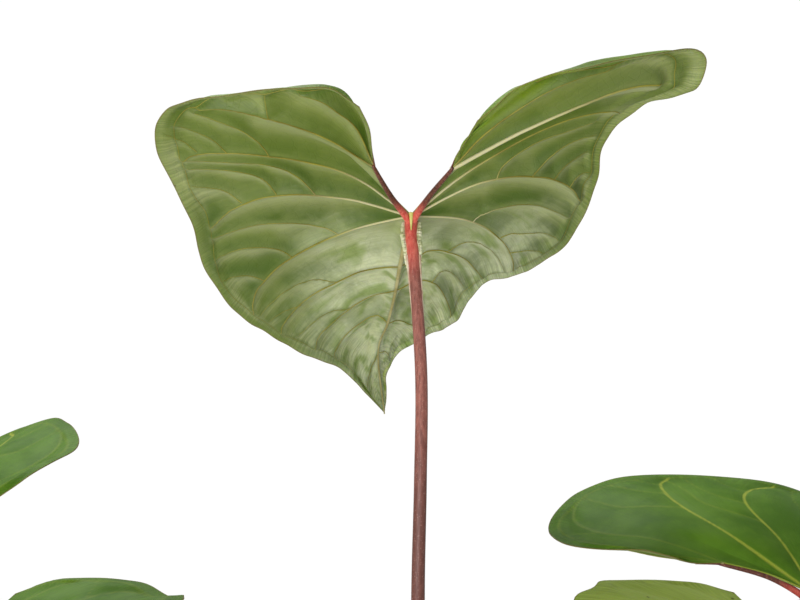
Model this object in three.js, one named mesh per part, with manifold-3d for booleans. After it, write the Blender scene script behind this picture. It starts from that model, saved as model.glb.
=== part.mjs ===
// Potted anthurium: a clay pot of bark mix, a short stem and six long-stalked heart-shaped leaves.
// Millimetres, +Z up, the middle of the pot's underside at the origin. The tallest leaf turns its
// underside to -Y; its tip points away towards +Y.

import * as THREE from "three";
import Module from "manifold-3d";

const manifold3d = await Module();
manifold3d.setup();
const { Manifold, Mesh } = manifold3d;

// ---- driving sizes -------------------------------------------------------------------------
const GAP = 0.3; // clearance between two pieces that touch

const POT_HEIGHT = 150;
const POT_TOP_RADIUS = 84; // outside of the wall, under the rim band
const POT_BASE_RADIUS = 60;
const POT_WALL = 6;
const POT_FLOOR = 9;
const RIM_HEIGHT = 26;
const RIM_STEP = 4; // how far the rim band stands out
const DRAIN_COUNT = 3;
const DRAIN_RADIUS = 7;
const DRAIN_CIRCLE = 32;

const HEADSPACE = 16; // from the rim down to the bark mix
const STEM_RADIUS = 12;
const STEM_HEIGHT = 46; // above the bark mix
const STEM_DEPTH = 50; // below it

const BLADE_THICKNESS = 1.2;
const RIB_DEPTH = 2.0; // extra depth of the ribs under the blade, at the stalk
const LEAF_SCALE = 1;
const PETIOLE_RADIUS = 2.65;
const PETIOLE_BASE_RADIUS = 4.4;
const PETIOLE_NECK_RADIUS = 3.2; // the swollen joint under the blade

const SHEATH_LENGTH = 52;
const SHEATH_THICKNESS = 0.9;
const ROOT_RADIUS = 2.1;

const SOIL_LEVEL = POT_HEIGHT - HEADSPACE;

// ---- finishes ------------------------------------------------------------------------------
const finish = (name, color, roughness) =>
  Object.assign(new THREE.MeshStandardMaterial({ color, roughness, metalness: 0 }), { name });
const CLAY = finish("clay", 0xb5694a, 0.85);
const BARK_MIX = finish("bark_mix", 0x4b3524, 0.95);
const STEM_SKIN = finish("stem_skin", 0x6f7a45, 0.7);
const PETIOLE_SKIN = finish("petiole_skin", 0x8f5a50, 0.55);
const LEAF_GREEN = finish("leaf_green", 0x7d9a58, 0.5);
const SHEATH_PAPER = finish("sheath_paper", 0x9a7448, 0.85);
const ROOT_SKIN = finish("root_skin", 0xb9a684, 0.8);

// ---- curves --------------------------------------------------------------------------------
const V = (x, y, z) => new THREE.Vector3(x, y, z);

// A smooth curve through all the points, walked by t from 0 to 1.
function through(points, t) {
  const last = points.length - 1;
  const x = Math.min(Math.max(t, 0), 1) * last;
  const i = Math.min(Math.floor(x), last - 1);
  const f = x - i;
  const b = points[i];
  const c = points[i + 1];
  const a = i > 0 ? points[i - 1] : b.clone().multiplyScalar(2).sub(c);
  const d = i + 2 <= last ? points[i + 2] : c.clone().multiplyScalar(2).sub(b);
  return V(0, 0, 0)
    .addScaledVector(a, 0.5 * (-f + 2 * f * f - f * f * f))
    .addScaledVector(b, 0.5 * (2 - 5 * f * f + 3 * f * f * f))
    .addScaledVector(c, 0.5 * (f + 4 * f * f - 3 * f * f * f))
    .addScaledVector(d, 0.5 * (f * f * f - f * f));
}

// ---- solids --------------------------------------------------------------------------------
// An indexed mesh from loose triangles, corners at the same place made one.
function weld(triangles) {
  const index = new Map();
  const points = [];
  const faces = [];
  const id = (p) => {
    const key = [p.x, p.y, p.z].map((v) => Math.round(v * 1000)).join();
    if (!index.has(key)) {
      index.set(key, points.length);
      points.push(p);
    }
    return index.get(key);
  };
  for (const corners of triangles) {
    const [a, b, c] = corners.map(id);
    if (a !== b && b !== c && c !== a) faces.push([a, b, c]);
  }
  return { points, faces };
}

function geometryOf({ points, faces }) {
  const geometry = new THREE.BufferGeometry();
  const flat = points.flatMap((p) => [p.x, p.y, p.z]);
  geometry.setAttribute("position", new THREE.Float32BufferAttribute(flat, 3));
  geometry.setIndex(faces.flat());
  geometry.computeVertexNormals();
  return geometry;
}

const toManifold = ({ points, faces }) =>
  new Manifold(
    new Mesh({
      numProp: 3,
      vertProperties: new Float32Array(points.flatMap((p) => [p.x, p.y, p.z])),
      triVerts: new Uint32Array(faces.flat()),
    }),
  );

function fromManifold(solid) {
  const mesh = solid.getMesh();
  const points = [];
  for (let i = 0; i < mesh.vertProperties.length; i += mesh.numProp) {
    points.push(V(...mesh.vertProperties.slice(i, i + 3)));
  }
  const faces = [];
  for (let i = 0; i < mesh.triVerts.length; i += 3) {
    faces.push([...mesh.triVerts.slice(i, i + 3)]);
  }
  return { points, faces };
}

const cut = (body, ...tools) =>
  fromManifold(tools.reduce((left, tool) => left.subtract(toManifold(tool)), toManifold(body)));

// A solid turned about the Z axis from a profile that starts and ends on it.
function turned(profile, segments) {
  const triangles = [];
  const at = ([r, z], k) => {
    const angle = (2 * Math.PI * (k % segments)) / segments;
    return V(r * Math.cos(angle), r * Math.sin(angle), z);
  };
  for (let i = 0; i + 1 < profile.length; i++) {
    for (let k = 0; k < segments; k++) {
      const a = at(profile[i], k);
      const b = at(profile[i], k + 1);
      const c = at(profile[i + 1], k + 1);
      const d = at(profile[i + 1], k);
      triangles.push([a, b, c], [a, c, d]);
    }
  }
  return weld(triangles);
}

// A closed round limb along a curve, its radius a function of t.
function limb(points, radiusAt, steps, sides) {
  const rings = [];
  let side = V(1, 0, 0);
  for (let i = 0; i <= steps; i++) {
    const t = i / steps;
    const along = through(points, t + 0.002).sub(through(points, t - 0.002)).normalize();
    side = side.clone().addScaledVector(along, -side.dot(along)).normalize();
    const other = along.clone().cross(side);
    const centre = through(points, t);
    const ring = [];
    for (let k = 0; k < sides; k++) {
      const angle = (2 * Math.PI * k) / sides;
      ring.push(
        centre
          .clone()
          .addScaledVector(side, radiusAt(t) * Math.cos(angle))
          .addScaledVector(other, radiusAt(t) * Math.sin(angle)),
      );
    }
    rings.push(ring);
  }
  const triangles = [];
  for (let i = 0; i < steps; i++) {
    for (let k = 0; k < sides; k++) {
      const n = (k + 1) % sides;
      triangles.push([rings[i][k], rings[i][n], rings[i + 1][n]]);
      triangles.push([rings[i][k], rings[i + 1][n], rings[i + 1][k]]);
    }
  }
  for (let k = 0; k < sides; k++) {
    const n = (k + 1) % sides;
    triangles.push([through(points, 0), rings[0][n], rings[0][k]]);
    triangles.push([through(points, 1), rings[steps][k], rings[steps][n]]);
  }
  return weld(triangles);
}

// A sheet given a thickness: above and below are functions of the corner's own depth value.
function thicken(sheet, above, below) {
  const normals = sheet.points.map(() => V(0, 0, 0));
  const edges = new Map();
  for (const [a, b, c] of sheet.faces) {
    const [p, q, r] = [a, b, c].map((i) => sheet.points[i]);
    const n = q.clone().sub(p).cross(r.clone().sub(p));
    for (const i of [a, b, c]) normals[i].add(n);
    for (const [i, j] of [[a, b], [b, c], [c, a]]) edges.set(`${i},${j}`, [i, j]);
  }
  normals.forEach((n) => n.normalize());
  const count = sheet.points.length;
  const top = sheet.points.map((p, i) => p.clone().addScaledVector(normals[i], above(i)));
  const under = sheet.points.map((p, i) => p.clone().addScaledVector(normals[i], -below(i)));
  const faces = [];
  for (const [a, b, c] of sheet.faces) {
    faces.push([a, b, c], [c + count, b + count, a + count]);
  }
  for (const [i, j] of edges.values()) {
    if (edges.has(`${j},${i}`)) continue;
    faces.push([j, i, i + count], [j, i + count, j + count]);
  }
  return { points: [...top, ...under], faces };
}

// ---- leaf blades ---------------------------------------------------------------------------
// A half blade is a sheet laid over its main ribs. Each rib leaves the spine at a station and runs
// by three points to the margin: along [x, y, z] from the stalk, +Y towards the tip. Stations: -1
// is the end of the bare basal rib beside the notch, 0 the stalk, 5 the tip.
const MIDRIB = [V(0, 0, 0), V(-5, 46, -22), V(-7, 70, -33), V(-11, 98, -49), V(-16, 124, -64),
  V(-13, 155, -96)];

const FULL_HALF = {
  basal: [V(-16, -34, 20), V(-9, -16, 9), V(0, 0, 0)],
  ribs: [
    { from: -1, by: [V(-17, -46, 27), V(-18, -60, 35), V(-22, -74, 43)] },
    { from: -1, by: [V(-25, -58, 35), V(-33, -74, 43), V(-38, -87, 50)] },
    { from: -1, by: [V(-37, -54, 31), V(-60, -68, 39), V(-82, -77, 47)] },
    { from: -0.5, by: [V(-40, -46, 27), V(-74, -56, 34), V(-105, -60, 42)] },
    { from: 0, by: [V(-31, -26, 19), V(-70, -38, 25), V(-111, -36, 27)] },
    { from: 0, by: [V(-30, -4, 7), V(-65, -5, 7), V(-101, 22, -5)] },
    { from: 0, by: [V(-31, 10, 0), V(-65, 22, -8), V(-98, 52, -24)] },
    { from: 0, by: [V(-30, 24, -7), V(-59, 46, -21), V(-85, 80, -45)] },
    { from: 1, by: [V(-26, 56, -26), V(-51, 77, -39), V(-69, 93, -56)] },
    { from: 2, by: [V(-22, 79, -38), V(-38, 94, -49), V(-52, 108, -66)] },
    { from: 3, by: [V(-19, 104, -53), V(-27, 115, -61), V(-35, 125, -73)] },
    { from: 4, by: [V(-18, 130, -71), V(-20, 136, -78), V(-22, 141, -86)] },
  ],
};

// The other half of the tallest blade: its lobe flares out and its lower margin curls back.
const CURLED_HALF = {
  basal: [V(17, -36, 19), V(8, -17, 9), V(0, 0, 0)],
  ribs: [
    { from: -1, by: [V(19, -42, 24), V(23, -50, 30), V(28, -60, 38)] },
    { from: -1, by: [V(26, -48, 29), V(36, -62, 41), V(48, -74, 53)] },
    { from: -1, by: [V(33, -52, 34), V(54, -68, 47), V(78, -80, 60)] },
    { from: -1, by: [V(45, -46, 33), V(80, -56, 48), V(122, -60, 68)] },
    { from: -0.5, by: [V(41, -38, 27), V(85, -46, 45), V(123, -44, 53)] },
    { from: 0, by: [V(29, -26, 21), V(65, -36, 39), V(103, -26, 47)] },
    { from: 0, by: [V(30, -20, 17), V(60, -20, 27), V(88, -8, 32)] },
    { from: 0, by: [V(32, -12, 14), V(61, -4, 16), V(85, 14, 12)] },
    { from: 0, by: [V(30, 8, 2), V(55, 26, -2), V(75, 60, -13)] },
    { from: 0, by: [V(25, 18, -2), V(43, 42, -11), V(54, 82, -27)] },
    { from: 1, by: [V(11, 48, -15), V(27, 64, -20), V(36, 98, -32)] },
    { from: 2, by: [V(7, 74, -29), V(15, 86, -34), V(23, 122, -50)] },
    { from: 3, by: [V(-3, 104, -49), V(4, 114, -53), V(9, 132, -57)] },
    { from: 4, by: [V(-14, 128, -66), V(-11, 132, -68), V(-9, 140, -70)] },
  ],
};

const reshaped = (half, move) => ({
  basal: half.basal.map(move),
  ribs: half.ribs.map(({ from, by }) => ({ from, by: by.map(move) })),
});

const STEPS_PER_RIB = 2;
const ACROSS = [0, 0.08, 0.28, 0.52, 0.76, 1];

function spineAt(half, midrib, station) {
  return station < 0 ? through(half.basal, 1 + station) : through(midrib, station / 5);
}

// One half of the sheet as loose triangles, upper face outwards.
function halfSheet(half, midrib, flipped) {
  const tip = midrib[midrib.length - 1];
  const ribs = [...half.ribs, { from: 5, by: [tip, tip, tip] }];
  const rows = [];
  const count = (ribs.length - 1) * STEPS_PER_RIB;
  for (let i = 0; i <= count; i++) {
    const u = i / count;
    const k = Math.min(Math.floor(i / STEPS_PER_RIB), ribs.length - 2);
    const f = i / STEPS_PER_RIB - k;
    const station = ribs[k].from * (1 - f) + ribs[k + 1].from * f;
    const curve = [spineAt(half, midrib, station)];
    for (const j of [0, 1, 2]) curve.push(through(ribs.map((rib) => rib.by[j]), u));
    rows.push(ACROSS.map((t) => through(curve, t)));
  }
  const triangles = [];
  for (let i = 0; i < count; i++) {
    for (let j = 0; j + 1 < ACROSS.length; j++) {
      const [a, b] = [rows[i][j], rows[i][j + 1]];
      const [c, d] = [rows[i + 1][j + 1], rows[i + 1][j]];
      const pair = [[a, c, b], [a, d, c]];
      triangles.push(...(flipped ? pair.map((f) => [...f].reverse()) : pair));
    }
  }
  return triangles;
}

// Leaf: where its stalk meets the blade, how it is turned, its size, and its two halves.
const turnOf = (leaf) =>
  new THREE.Matrix4().makeRotationFromEuler(
    new THREE.Euler(
      THREE.MathUtils.degToRad(leaf.pitch),
      THREE.MathUtils.degToRad(leaf.roll),
      THREE.MathUtils.degToRad(leaf.yaw),
      "ZXY",
    ),
  );

function blade(leaf, grow) {
  const bend = arched(leaf);
  const midrib = MIDRIB.map((p) => bend(leaf.straight ? V(0, p.y, p.z) : p));
  const left = reshaped(leaf.left, bend);
  const right = reshaped(leaf.right, bend);
  const scale = leaf.size * LEAF_SCALE;
  const turn = turnOf(leaf);
  const triangles = [
    ...halfSheet(left, midrib, false),
    ...halfSheet(right, midrib, true),
  ].map((corners) =>
    corners.map((p) => p.clone().multiplyScalar(scale).applyMatrix4(turn).add(leaf.at)),
  );
  const sheet = weld(triangles);
  const depth = new Map();
  const reach = 155 * scale;
  const spine = [];
  for (let s = -1; s <= 5; s += 0.1) {
    for (const half of [left, right]) {
      const p = spineAt(half, midrib, s).multiplyScalar(scale);
      spine.push([p.clone().applyMatrix4(turn).add(leaf.at), 1 - p.length() / (reach * 1.25)]);
    }
  }
  sheet.points.forEach((p, i) => {
    const near = spine.find(([q]) => q.distanceTo(p) < 1.6);
    depth.set(i, near ? RIB_DEPTH * Math.max(near[1], 0) : 0);
  });
  return thicken(
    sheet,
    () => BLADE_THICKNESS / 2 + grow,
    (i) => BLADE_THICKNESS / 2 + depth.get(i) + grow,
  );
}

const BLADE_UP = V(0, 0.44, 0.9).normalize(); // square to the blade at the stalk

// ---- the plant -----------------------------------------------------------------------------
// way: the stalk's points from the stem's middle up to the blade, heights above the bark mix.
// Larger leaves stand on longer stalks, so that they stay clear of each other.
const up = (x, y, z) => V(x, y, z).multiplyScalar(LEAF_SCALE).add(V(0, 0, SOIL_LEVEL));
const SWAY = 0.11; // how far the tallest blade's midrib drifts sideways per millimetre
const straightened = (p) => V(p.x + SWAY * Math.max(p.y, 0), p.y, p.z);
const mirrored = (p) => V(-p.x, p.y, p.z);
const EVEN_HALF = reshaped(FULL_HALF, straightened);
const EVEN = { left: EVEN_HALF, right: reshaped(EVEN_HALF, mirrored), straight: true };
// A half with its ribs' ends moved, from the first rib on, and their middles by about half that.
const MOVED_SHARE = [0, 0.55, 1];
const nudged = (half, shifts) => ({
  basal: half.basal,
  ribs: half.ribs.map(({ from, by }, i) => ({
    from,
    by: by.map((p, j) => p.clone().addScaledVector(V(...(shifts[i] ?? [0, 0, 0])), MOVED_SHARE[j])),
  })),
});
// The blade curves down away from the stalk by arch, more on one side by lean.
const arched = ({ arch, lean }) => (p) => {
  const curve = arch + lean * THREE.MathUtils.clamp(p.x / 60, -1, 1);
  return p.clone().addScaledVector(BLADE_UP, (-curve * p.lengthSq()) / 1000);
};
const LEAVES = {
  tall: {
    ...{ left: FULL_HALF, right: CURLED_HALF, straight: false },
    at: up(-4, -20, 321),
    ...{ yaw: 0, pitch: 0, roll: 0, size: 1, arch: 0, lean: 0 },
    way: [up(0, 0, 32), up(0, -14, 84), up(-1, -33, 148), up(0, -40, 202), up(1, -37, 250),
      up(-2, -28, 299)],
  },
  right: {
    ...EVEN,
    left: nudged(EVEN.left, [[0, 13, 2], [-2, 5, 3], [6, -4, -7], [5, 0, -7], [5, 6, -3],
      [-1, 2, 5], [0, 3, 9], [0, 2, 5], [0, 1, 2]]),
    at: up(178, -16, 150),
    ...{ yaw: -86, pitch: 12, roll: 42, size: 1.02, arch: 2.7, lean: -0.9 },
    way: [up(0, 0, 18), up(32, -2, 46), up(86, -6, 92), up(140, -11, 128)],
  },
  left: {
    ...EVEN,
    right: nudged(EVEN.right, [[1, 1, 2], [1, 4, 3], [-3, -2, -6], [-1, 0, -2], [3, -1, 6],
      [6, -3, 9], [3, -1, 5], [1, 0, 2]]),
    at: up(-267, 8, 155),
    ...{ yaw: 69, pitch: -1, roll: -31, size: 1.02, arch: 2.4, lean: -0.6 },
    way: [up(0, 0, 22), up(-48, -2, 66), up(-122, 2, 116), up(-206, 6, 137)],
  },
  front_left: {
    ...EVEN,
    left: nudged(EVEN.left, [[1, 1, 2], [-1, 0, 1], [1, 0, 0], [1, 0, -2], [-8, -5, 11],
      [-4, -4, 9], [-2, -2, 4], [-1, -1, 2]]),
    at: up(-199, -178, 126),
    ...{ yaw: 160, pitch: -2, roll: 12, size: 0.86, arch: 1.2, lean: 0 },
    way: [up(0, 0, 14), up(-30, -26, 46), up(-85, -75, 88), up(-146, -130, 109)],
  },
  front_right: {
    ...EVEN,
    right: nudged(EVEN.right, [[-1, 1, 3], [0, 0, 0], [2, -1, 1], [-4, 2, 3], [6, -4, 9],
      [8, -6, 10], [4, -3, 5], [2, -1, 2]]),
    at: up(160, -172, 126),
    ...{ yaw: -160, pitch: -2, roll: -12, size: 0.84, arch: 1.2, lean: 0 },
    way: [up(0, 0, 28), up(18, -30, 60), up(58, -82, 94), up(112, -133, 111)],
  },
  back: {
    ...EVEN,
    at: up(46, 128, 66),
    ...{ yaw: -14, pitch: -6, roll: -6, size: 0.82, arch: 0.9, lean: 0 },
    way: [up(0, 0, 24), up(10, 28, 42), up(26, 70, 52), up(38, 104, 51)],
  },
};

// Outline of the stem, grown outwards by a clearance.
function stemSolid(grow) {
  const top = SOIL_LEVEL + STEM_HEIGHT;
  const foot = SOIL_LEVEL - STEM_DEPTH;
  const r = STEM_RADIUS;
  const profile = [[0, foot - grow], [r * 0.8 + grow, foot - grow], [r * 0.8 + grow, SOIL_LEVEL - 14]];
  for (let i = 0; i <= 8; i++) {
    const swell = i % 2 ? 1 : 0.88;
    profile.push([r * swell * (1 - 0.02 * i) + grow, SOIL_LEVEL + (i / 8) * (STEM_HEIGHT - 8)]);
  }
  profile.push([r * 0.5 + grow, top - 2 + grow], [0, top + grow]);
  return turned(profile, 28);
}

function petiole(leaf) {
  const turn = turnOf(leaf);
  const square = BLADE_UP.clone().applyMatrix4(turn);
  const under = BLADE_THICKNESS / 2 + RIB_DEPTH + GAP;
  const head = leaf.at.clone().addScaledVector(square, -under);
  const neck = leaf.at.clone().addScaledVector(square, -under - 9);
  const slim = 0.55 + 0.45 * leaf.size;
  const radiusAt = (t) => {
    const base = (PETIOLE_BASE_RADIUS - PETIOLE_RADIUS) * Math.exp(-t * 5);
    const joint = (PETIOLE_NECK_RADIUS - PETIOLE_RADIUS) * Math.exp(-(((1 - t) / 0.09) ** 2));
    return slim * (PETIOLE_RADIUS + base + joint);
  };
  const body = limb([...leaf.way, neck, head], radiusAt, 22, 10);
  return cut(body, stemSolid(GAP), blade(leaf, GAP));
}

function pot() {
  const slope = (POT_TOP_RADIUS - POT_BASE_RADIUS) / POT_HEIGHT;
  const wallAt = (z) => POT_BASE_RADIUS + slope * z;
  const band = POT_HEIGHT - RIM_HEIGHT;
  const profile = [
    [0, 0],
    [POT_BASE_RADIUS - 3, 0],
    [POT_BASE_RADIUS, 3],
    [wallAt(band - 4), band - 4],
    [wallAt(band) + RIM_STEP, band],
    [wallAt(POT_HEIGHT) + RIM_STEP - 1, POT_HEIGHT - 3],
    [wallAt(POT_HEIGHT) + RIM_STEP - 3, POT_HEIGHT],
    [wallAt(POT_HEIGHT) - POT_WALL + 2, POT_HEIGHT],
    [wallAt(POT_HEIGHT) - POT_WALL, POT_HEIGHT - 2],
    [wallAt(POT_FLOOR) - POT_WALL, POT_FLOOR],
    [0, POT_FLOOR],
  ];
  const drains = [];
  for (let i = 0; i < DRAIN_COUNT; i++) {
    const angle = (2 * Math.PI * (i + 0.25)) / DRAIN_COUNT;
    const drainProfile = [[0, -1], [DRAIN_RADIUS, -1], [DRAIN_RADIUS, POT_FLOOR + 1], [0, POT_FLOOR + 1]];
    const drain = turned(drainProfile, 20);
    const shift = V(DRAIN_CIRCLE * Math.cos(angle), DRAIN_CIRCLE * Math.sin(angle), 0);
    drain.points.forEach((p) => p.add(shift));
    drains.push(drain);
  }
  return cut(turned(profile, 48), ...drains);
}

function barkMix() {
  const slope = (POT_TOP_RADIUS - POT_BASE_RADIUS) / POT_HEIGHT;
  const insideAt = (z) => POT_BASE_RADIUS + slope * z - POT_WALL - GAP;
  const body = turned(
    [
      [0, POT_FLOOR + GAP],
      [insideAt(POT_FLOOR + GAP), POT_FLOOR + GAP],
      [insideAt(SOIL_LEVEL - 3), SOIL_LEVEL - 3],
      [insideAt(SOIL_LEVEL) - 4, SOIL_LEVEL],
      [0, SOIL_LEVEL],
    ],
    48,
  );
  return cut(body, stemSolid(GAP));
}

// A dry papery sheath: a pointed strip bent round the stem, standing off it towards its tip.
function sheath(angle, halfAngle, foot, length, lean) {
  const triangles = [];
  const rows = 8;
  const columns = 6;
  const at = (i, j) => {
    const h = i / rows;
    const half = halfAngle * Math.sqrt(Math.max(1 - h ** 1.6, 0)) * (0.85 + 0.4 * h);
    const a = angle + half * (2 * (j / columns) - 1);
    const r = STEM_RADIUS + GAP + SHEATH_THICKNESS / 2 + 0.15 + lean * h ** 1.7;
    return V(r * Math.cos(a), r * Math.sin(a), foot + length * h);
  };
  for (let i = 0; i < rows; i++) {
    for (let j = 0; j < columns; j++) {
      const [a, b, c, d] = [at(i, j), at(i, j + 1), at(i + 1, j + 1), at(i + 1, j)];
      triangles.push([a, b, c], [a, c, d]);
    }
  }
  const sheet = weld(triangles);
  return thicken(
    sheet,
    () => SHEATH_THICKNESS / 2,
    () => SHEATH_THICKNESS / 2,
  );
}

// A root that leaves the stem and arches down onto the bark mix.
function root(angle, height, reach, rise) {
  const at = (r, z) => V(r * Math.cos(angle), r * Math.sin(angle), SOIL_LEVEL + z);
  const path = [
    at(0, height),
    at(STEM_RADIUS + 4, height + rise),
    at(STEM_RADIUS + reach * 0.6, height * 0.6),
    at(STEM_RADIUS + reach, -8),
  ];
  const below = turned([[0, SOIL_LEVEL - 30], [200, SOIL_LEVEL - 30], [200, SOIL_LEVEL + GAP],
    [0, SOIL_LEVEL + GAP]], 16);
  const body = limb(path, (t) => ROOT_RADIUS * (1.15 - 0.3 * t), 14, 9);
  return cut(body, stemSolid(GAP), below);
}

// ---- the whole part ------------------------------------------------------------------------
const plant = new THREE.Group();
plant.name = "potted_anthurium";

function add(name, solid, material) {
  const mesh = new THREE.Mesh(geometryOf(solid), material);
  mesh.name = name;
  plant.add(mesh);
}

add("pot", pot(), CLAY);
add("bark_mix", barkMix(), BARK_MIX);
add("stem", stemSolid(0), STEM_SKIN);
for (const [name, leaf] of Object.entries(LEAVES)) {
  add(`petiole_${name}`, petiole(leaf), PETIOLE_SKIN);
  add(`blade_${name}`, blade(leaf, 0), LEAF_GREEN);
}

const SHEATHS = [
  { angle: 2.2, half: 0.42, foot: 5, length: 1, lean: 9 },
  { angle: 0.6, half: 0.15, foot: 4, length: 0.72, lean: 6 },
];
SHEATHS.forEach(({ angle, half, foot, length, lean }, i) =>
  add(
    `sheath_${i + 1}`,
    sheath(angle, half, SOIL_LEVEL + foot, SHEATH_LENGTH * length, lean),
    SHEATH_PAPER,
  ),
);

const ROOTS = [
  { angle: 1.15, height: 9, reach: 26, rise: 3 },
  { angle: 2.9, height: 7, reach: 20, rise: 2 },
  { angle: 5.5, height: 11, reach: 30, rise: 4 },
];
ROOTS.forEach(({ angle, height, reach, rise }, i) =>
  add(`root_${i + 1}`, root(angle, height, reach, rise), ROOT_SKIN),
);

export default plant;
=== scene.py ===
"""Looks of the potted anthurium: quilted leaf blades with raised veins, red stalks, clay pot."""

import math

import bpy
import numpy as np
from mathutils import Matrix, Vector, kdtree, noise


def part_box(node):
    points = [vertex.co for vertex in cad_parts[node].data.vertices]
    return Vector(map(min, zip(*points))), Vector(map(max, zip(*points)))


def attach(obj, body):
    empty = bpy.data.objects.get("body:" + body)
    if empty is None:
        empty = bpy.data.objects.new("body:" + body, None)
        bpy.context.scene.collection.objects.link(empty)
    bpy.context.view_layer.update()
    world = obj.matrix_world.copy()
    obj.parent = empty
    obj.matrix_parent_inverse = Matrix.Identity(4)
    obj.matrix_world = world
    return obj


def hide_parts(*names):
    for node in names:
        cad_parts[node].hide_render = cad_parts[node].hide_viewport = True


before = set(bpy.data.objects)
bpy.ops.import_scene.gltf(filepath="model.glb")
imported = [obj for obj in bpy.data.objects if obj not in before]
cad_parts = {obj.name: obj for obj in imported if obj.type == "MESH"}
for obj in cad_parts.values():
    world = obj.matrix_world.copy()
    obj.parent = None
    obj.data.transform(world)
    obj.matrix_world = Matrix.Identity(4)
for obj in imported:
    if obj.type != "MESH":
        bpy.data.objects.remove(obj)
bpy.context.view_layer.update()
MM = 0.001

# ---- sizes, in millimetres -------------------------------------------------------------------
SOIL_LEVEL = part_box("bark_mix")[1].z / MM
POT_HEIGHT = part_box("pot")[1].z / MM
RIM_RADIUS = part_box("pot")[1].x / MM
STEM_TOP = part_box("stem")[1].z / MM
STEM_RADIUS = 12
POT_BASE_RADIUS = 60
POT_WALL = 6
POT_FLOOR = 9
POT_SLOPE = 0.16
RIM_HEIGHT = 26
BLADE_THICKNESS = 0.8
RIB_DEPTH = 2.0
CELL_RISE = 0.24  # how high the tissue between two veins rises, as a share of their distance
CELL_RISE_LIMIT = 3.8
MAIN_RISE = 0.08
MAIN_RISE_LIMIT = 2.8
PETIOLE_RADIUS = 2.65
PETIOLE_BASE_RADIUS = 4.4
PETIOLE_NECK_RADIUS = 2.95
DRAIN_COUNT = 3
DRAIN_RADIUS = 7
DRAIN_CIRCLE = 32  # how far the drain holes stand from the pot's middle
BOLD_VEIN = 1.02  # veins that start wider than this colour the tissue beside them
MARGIN_FADE = 9  # the relief dies out over this distance from the outer and the inner edge
SPINE_FADE = 6  # and over this one from the midrib and the bare ribs
SPINE_FADE_ON_LOBE = 7  # added to it on a basal lobe
MARGIN_SHARE = 0.4  # what is left of the relief at the margin
MARGIN_LOSS_ON_LOBE = 0.3  # taken from that share on a basal lobe
LOBE_FLATTENING = 0.2  # share of the relief lost on a basal lobe
PUFF_ROUNDNESS = 0.8  # power that rounds the tissue between two veins


# ---- curves ----------------------------------------------------------------------------------
def through(points, t):
    """A smooth curve through points at each t from 0 to 1; points are one list, or one a sample."""
    points = np.asarray(points, float)
    t = np.atleast_1d(np.asarray(t, float))
    if points.ndim == 2:
        points = np.broadcast_to(points, (len(t), *points.shape))
    last = points.shape[1] - 1
    x = np.clip(t, 0, 1) * last
    i = np.minimum(x.astype(int), last - 1)
    f = (x - i)[:, None]
    before = 2 * points[:, :1] - points[:, 1:2]
    after = 2 * points[:, -1:] - points[:, -2:-1]
    padded = np.concatenate([before, points, after], axis=1)
    rows = np.arange(len(t))
    a, b, c, d = (padded[rows, i + k] for k in range(4))
    return 0.5 * (
        a * (-f + 2 * f**2 - f**3)
        + b * (2 - 5 * f**2 + 3 * f**3)
        + c * (f + 4 * f**2 - 3 * f**3)
        + d * (f**3 - f**2)
    )


def smooth(low, high, x):
    t = np.clip((x - low) / (high - low), 0, 1)
    return t * t * (3 - 2 * t)


# ---- leaf shapes -----------------------------------------------------------------------------
# A half blade lies over its main ribs. Each rib leaves the spine at a station (-1 the end of the
# bare basal rib, 0 the stalk, 5 the tip) and runs by three points to the margin, +Y to the tip.
MIDRIB = [(0, 0, 0), (-5, 46, -22), (-7, 70, -33), (-11, 98, -49), (-16, 124, -64), (-13, 155, -96)]
FULL_HALF = {
    "basal": [(-16, -34, 20), (-9, -16, 9), (0, 0, 0)],
    "ribs": [
        (-1, [(-17, -46, 27), (-18, -60, 35), (-22, -74, 43)]),
        (-1, [(-25, -58, 35), (-33, -74, 43), (-38, -87, 50)]),
        (-1, [(-37, -54, 31), (-60, -68, 39), (-82, -77, 47)]),
        (-0.5, [(-40, -46, 27), (-74, -56, 34), (-105, -60, 42)]),
        (0, [(-31, -26, 19), (-70, -38, 25), (-111, -36, 27)]),
        (0, [(-30, -4, 7), (-65, -5, 7), (-101, 22, -5)]),
        (0, [(-31, 10, 0), (-65, 22, -8), (-98, 52, -24)]),
        (0, [(-30, 24, -7), (-59, 46, -21), (-85, 80, -45)]),
        (1, [(-26, 56, -26), (-51, 77, -39), (-69, 93, -56)]),
        (2, [(-22, 79, -38), (-38, 94, -49), (-52, 108, -66)]),
        (3, [(-19, 104, -53), (-27, 115, -61), (-35, 125, -73)]),
        (4, [(-18, 130, -71), (-20, 136, -78), (-22, 141, -86)]),
    ],
}
CURLED_HALF = {
    "basal": [(17, -36, 19), (8, -17, 9), (0, 0, 0)],
    "ribs": [
        (-1, [(19, -42, 24), (23, -50, 30), (28, -60, 38)]),
        (-1, [(26, -48, 29), (36, -62, 41), (48, -74, 53)]),
        (-1, [(33, -52, 34), (54, -68, 47), (78, -80, 60)]),
        (-1, [(45, -46, 33), (80, -56, 48), (122, -60, 68)]),
        (-0.5, [(41, -38, 27), (85, -46, 45), (123, -44, 53)]),
        (0, [(29, -26, 21), (65, -36, 39), (103, -26, 47)]),
        (0, [(30, -20, 17), (60, -20, 27), (88, -8, 32)]),
        (0, [(32, -12, 14), (61, -4, 16), (85, 14, 12)]),
        (0, [(30, 8, 2), (55, 26, -2), (75, 60, -13)]),
        (0, [(25, 18, -2), (43, 42, -11), (54, 82, -27)]),
        (1, [(11, 48, -15), (27, 64, -20), (36, 98, -32)]),
        (2, [(7, 74, -29), (15, 86, -34), (23, 122, -50)]),
        (3, [(-3, 104, -49), (4, 114, -53), (9, 132, -57)]),
        (4, [(-14, 128, -66), (-11, 132, -68), (-9, 140, -70)]),
    ],
}
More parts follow.
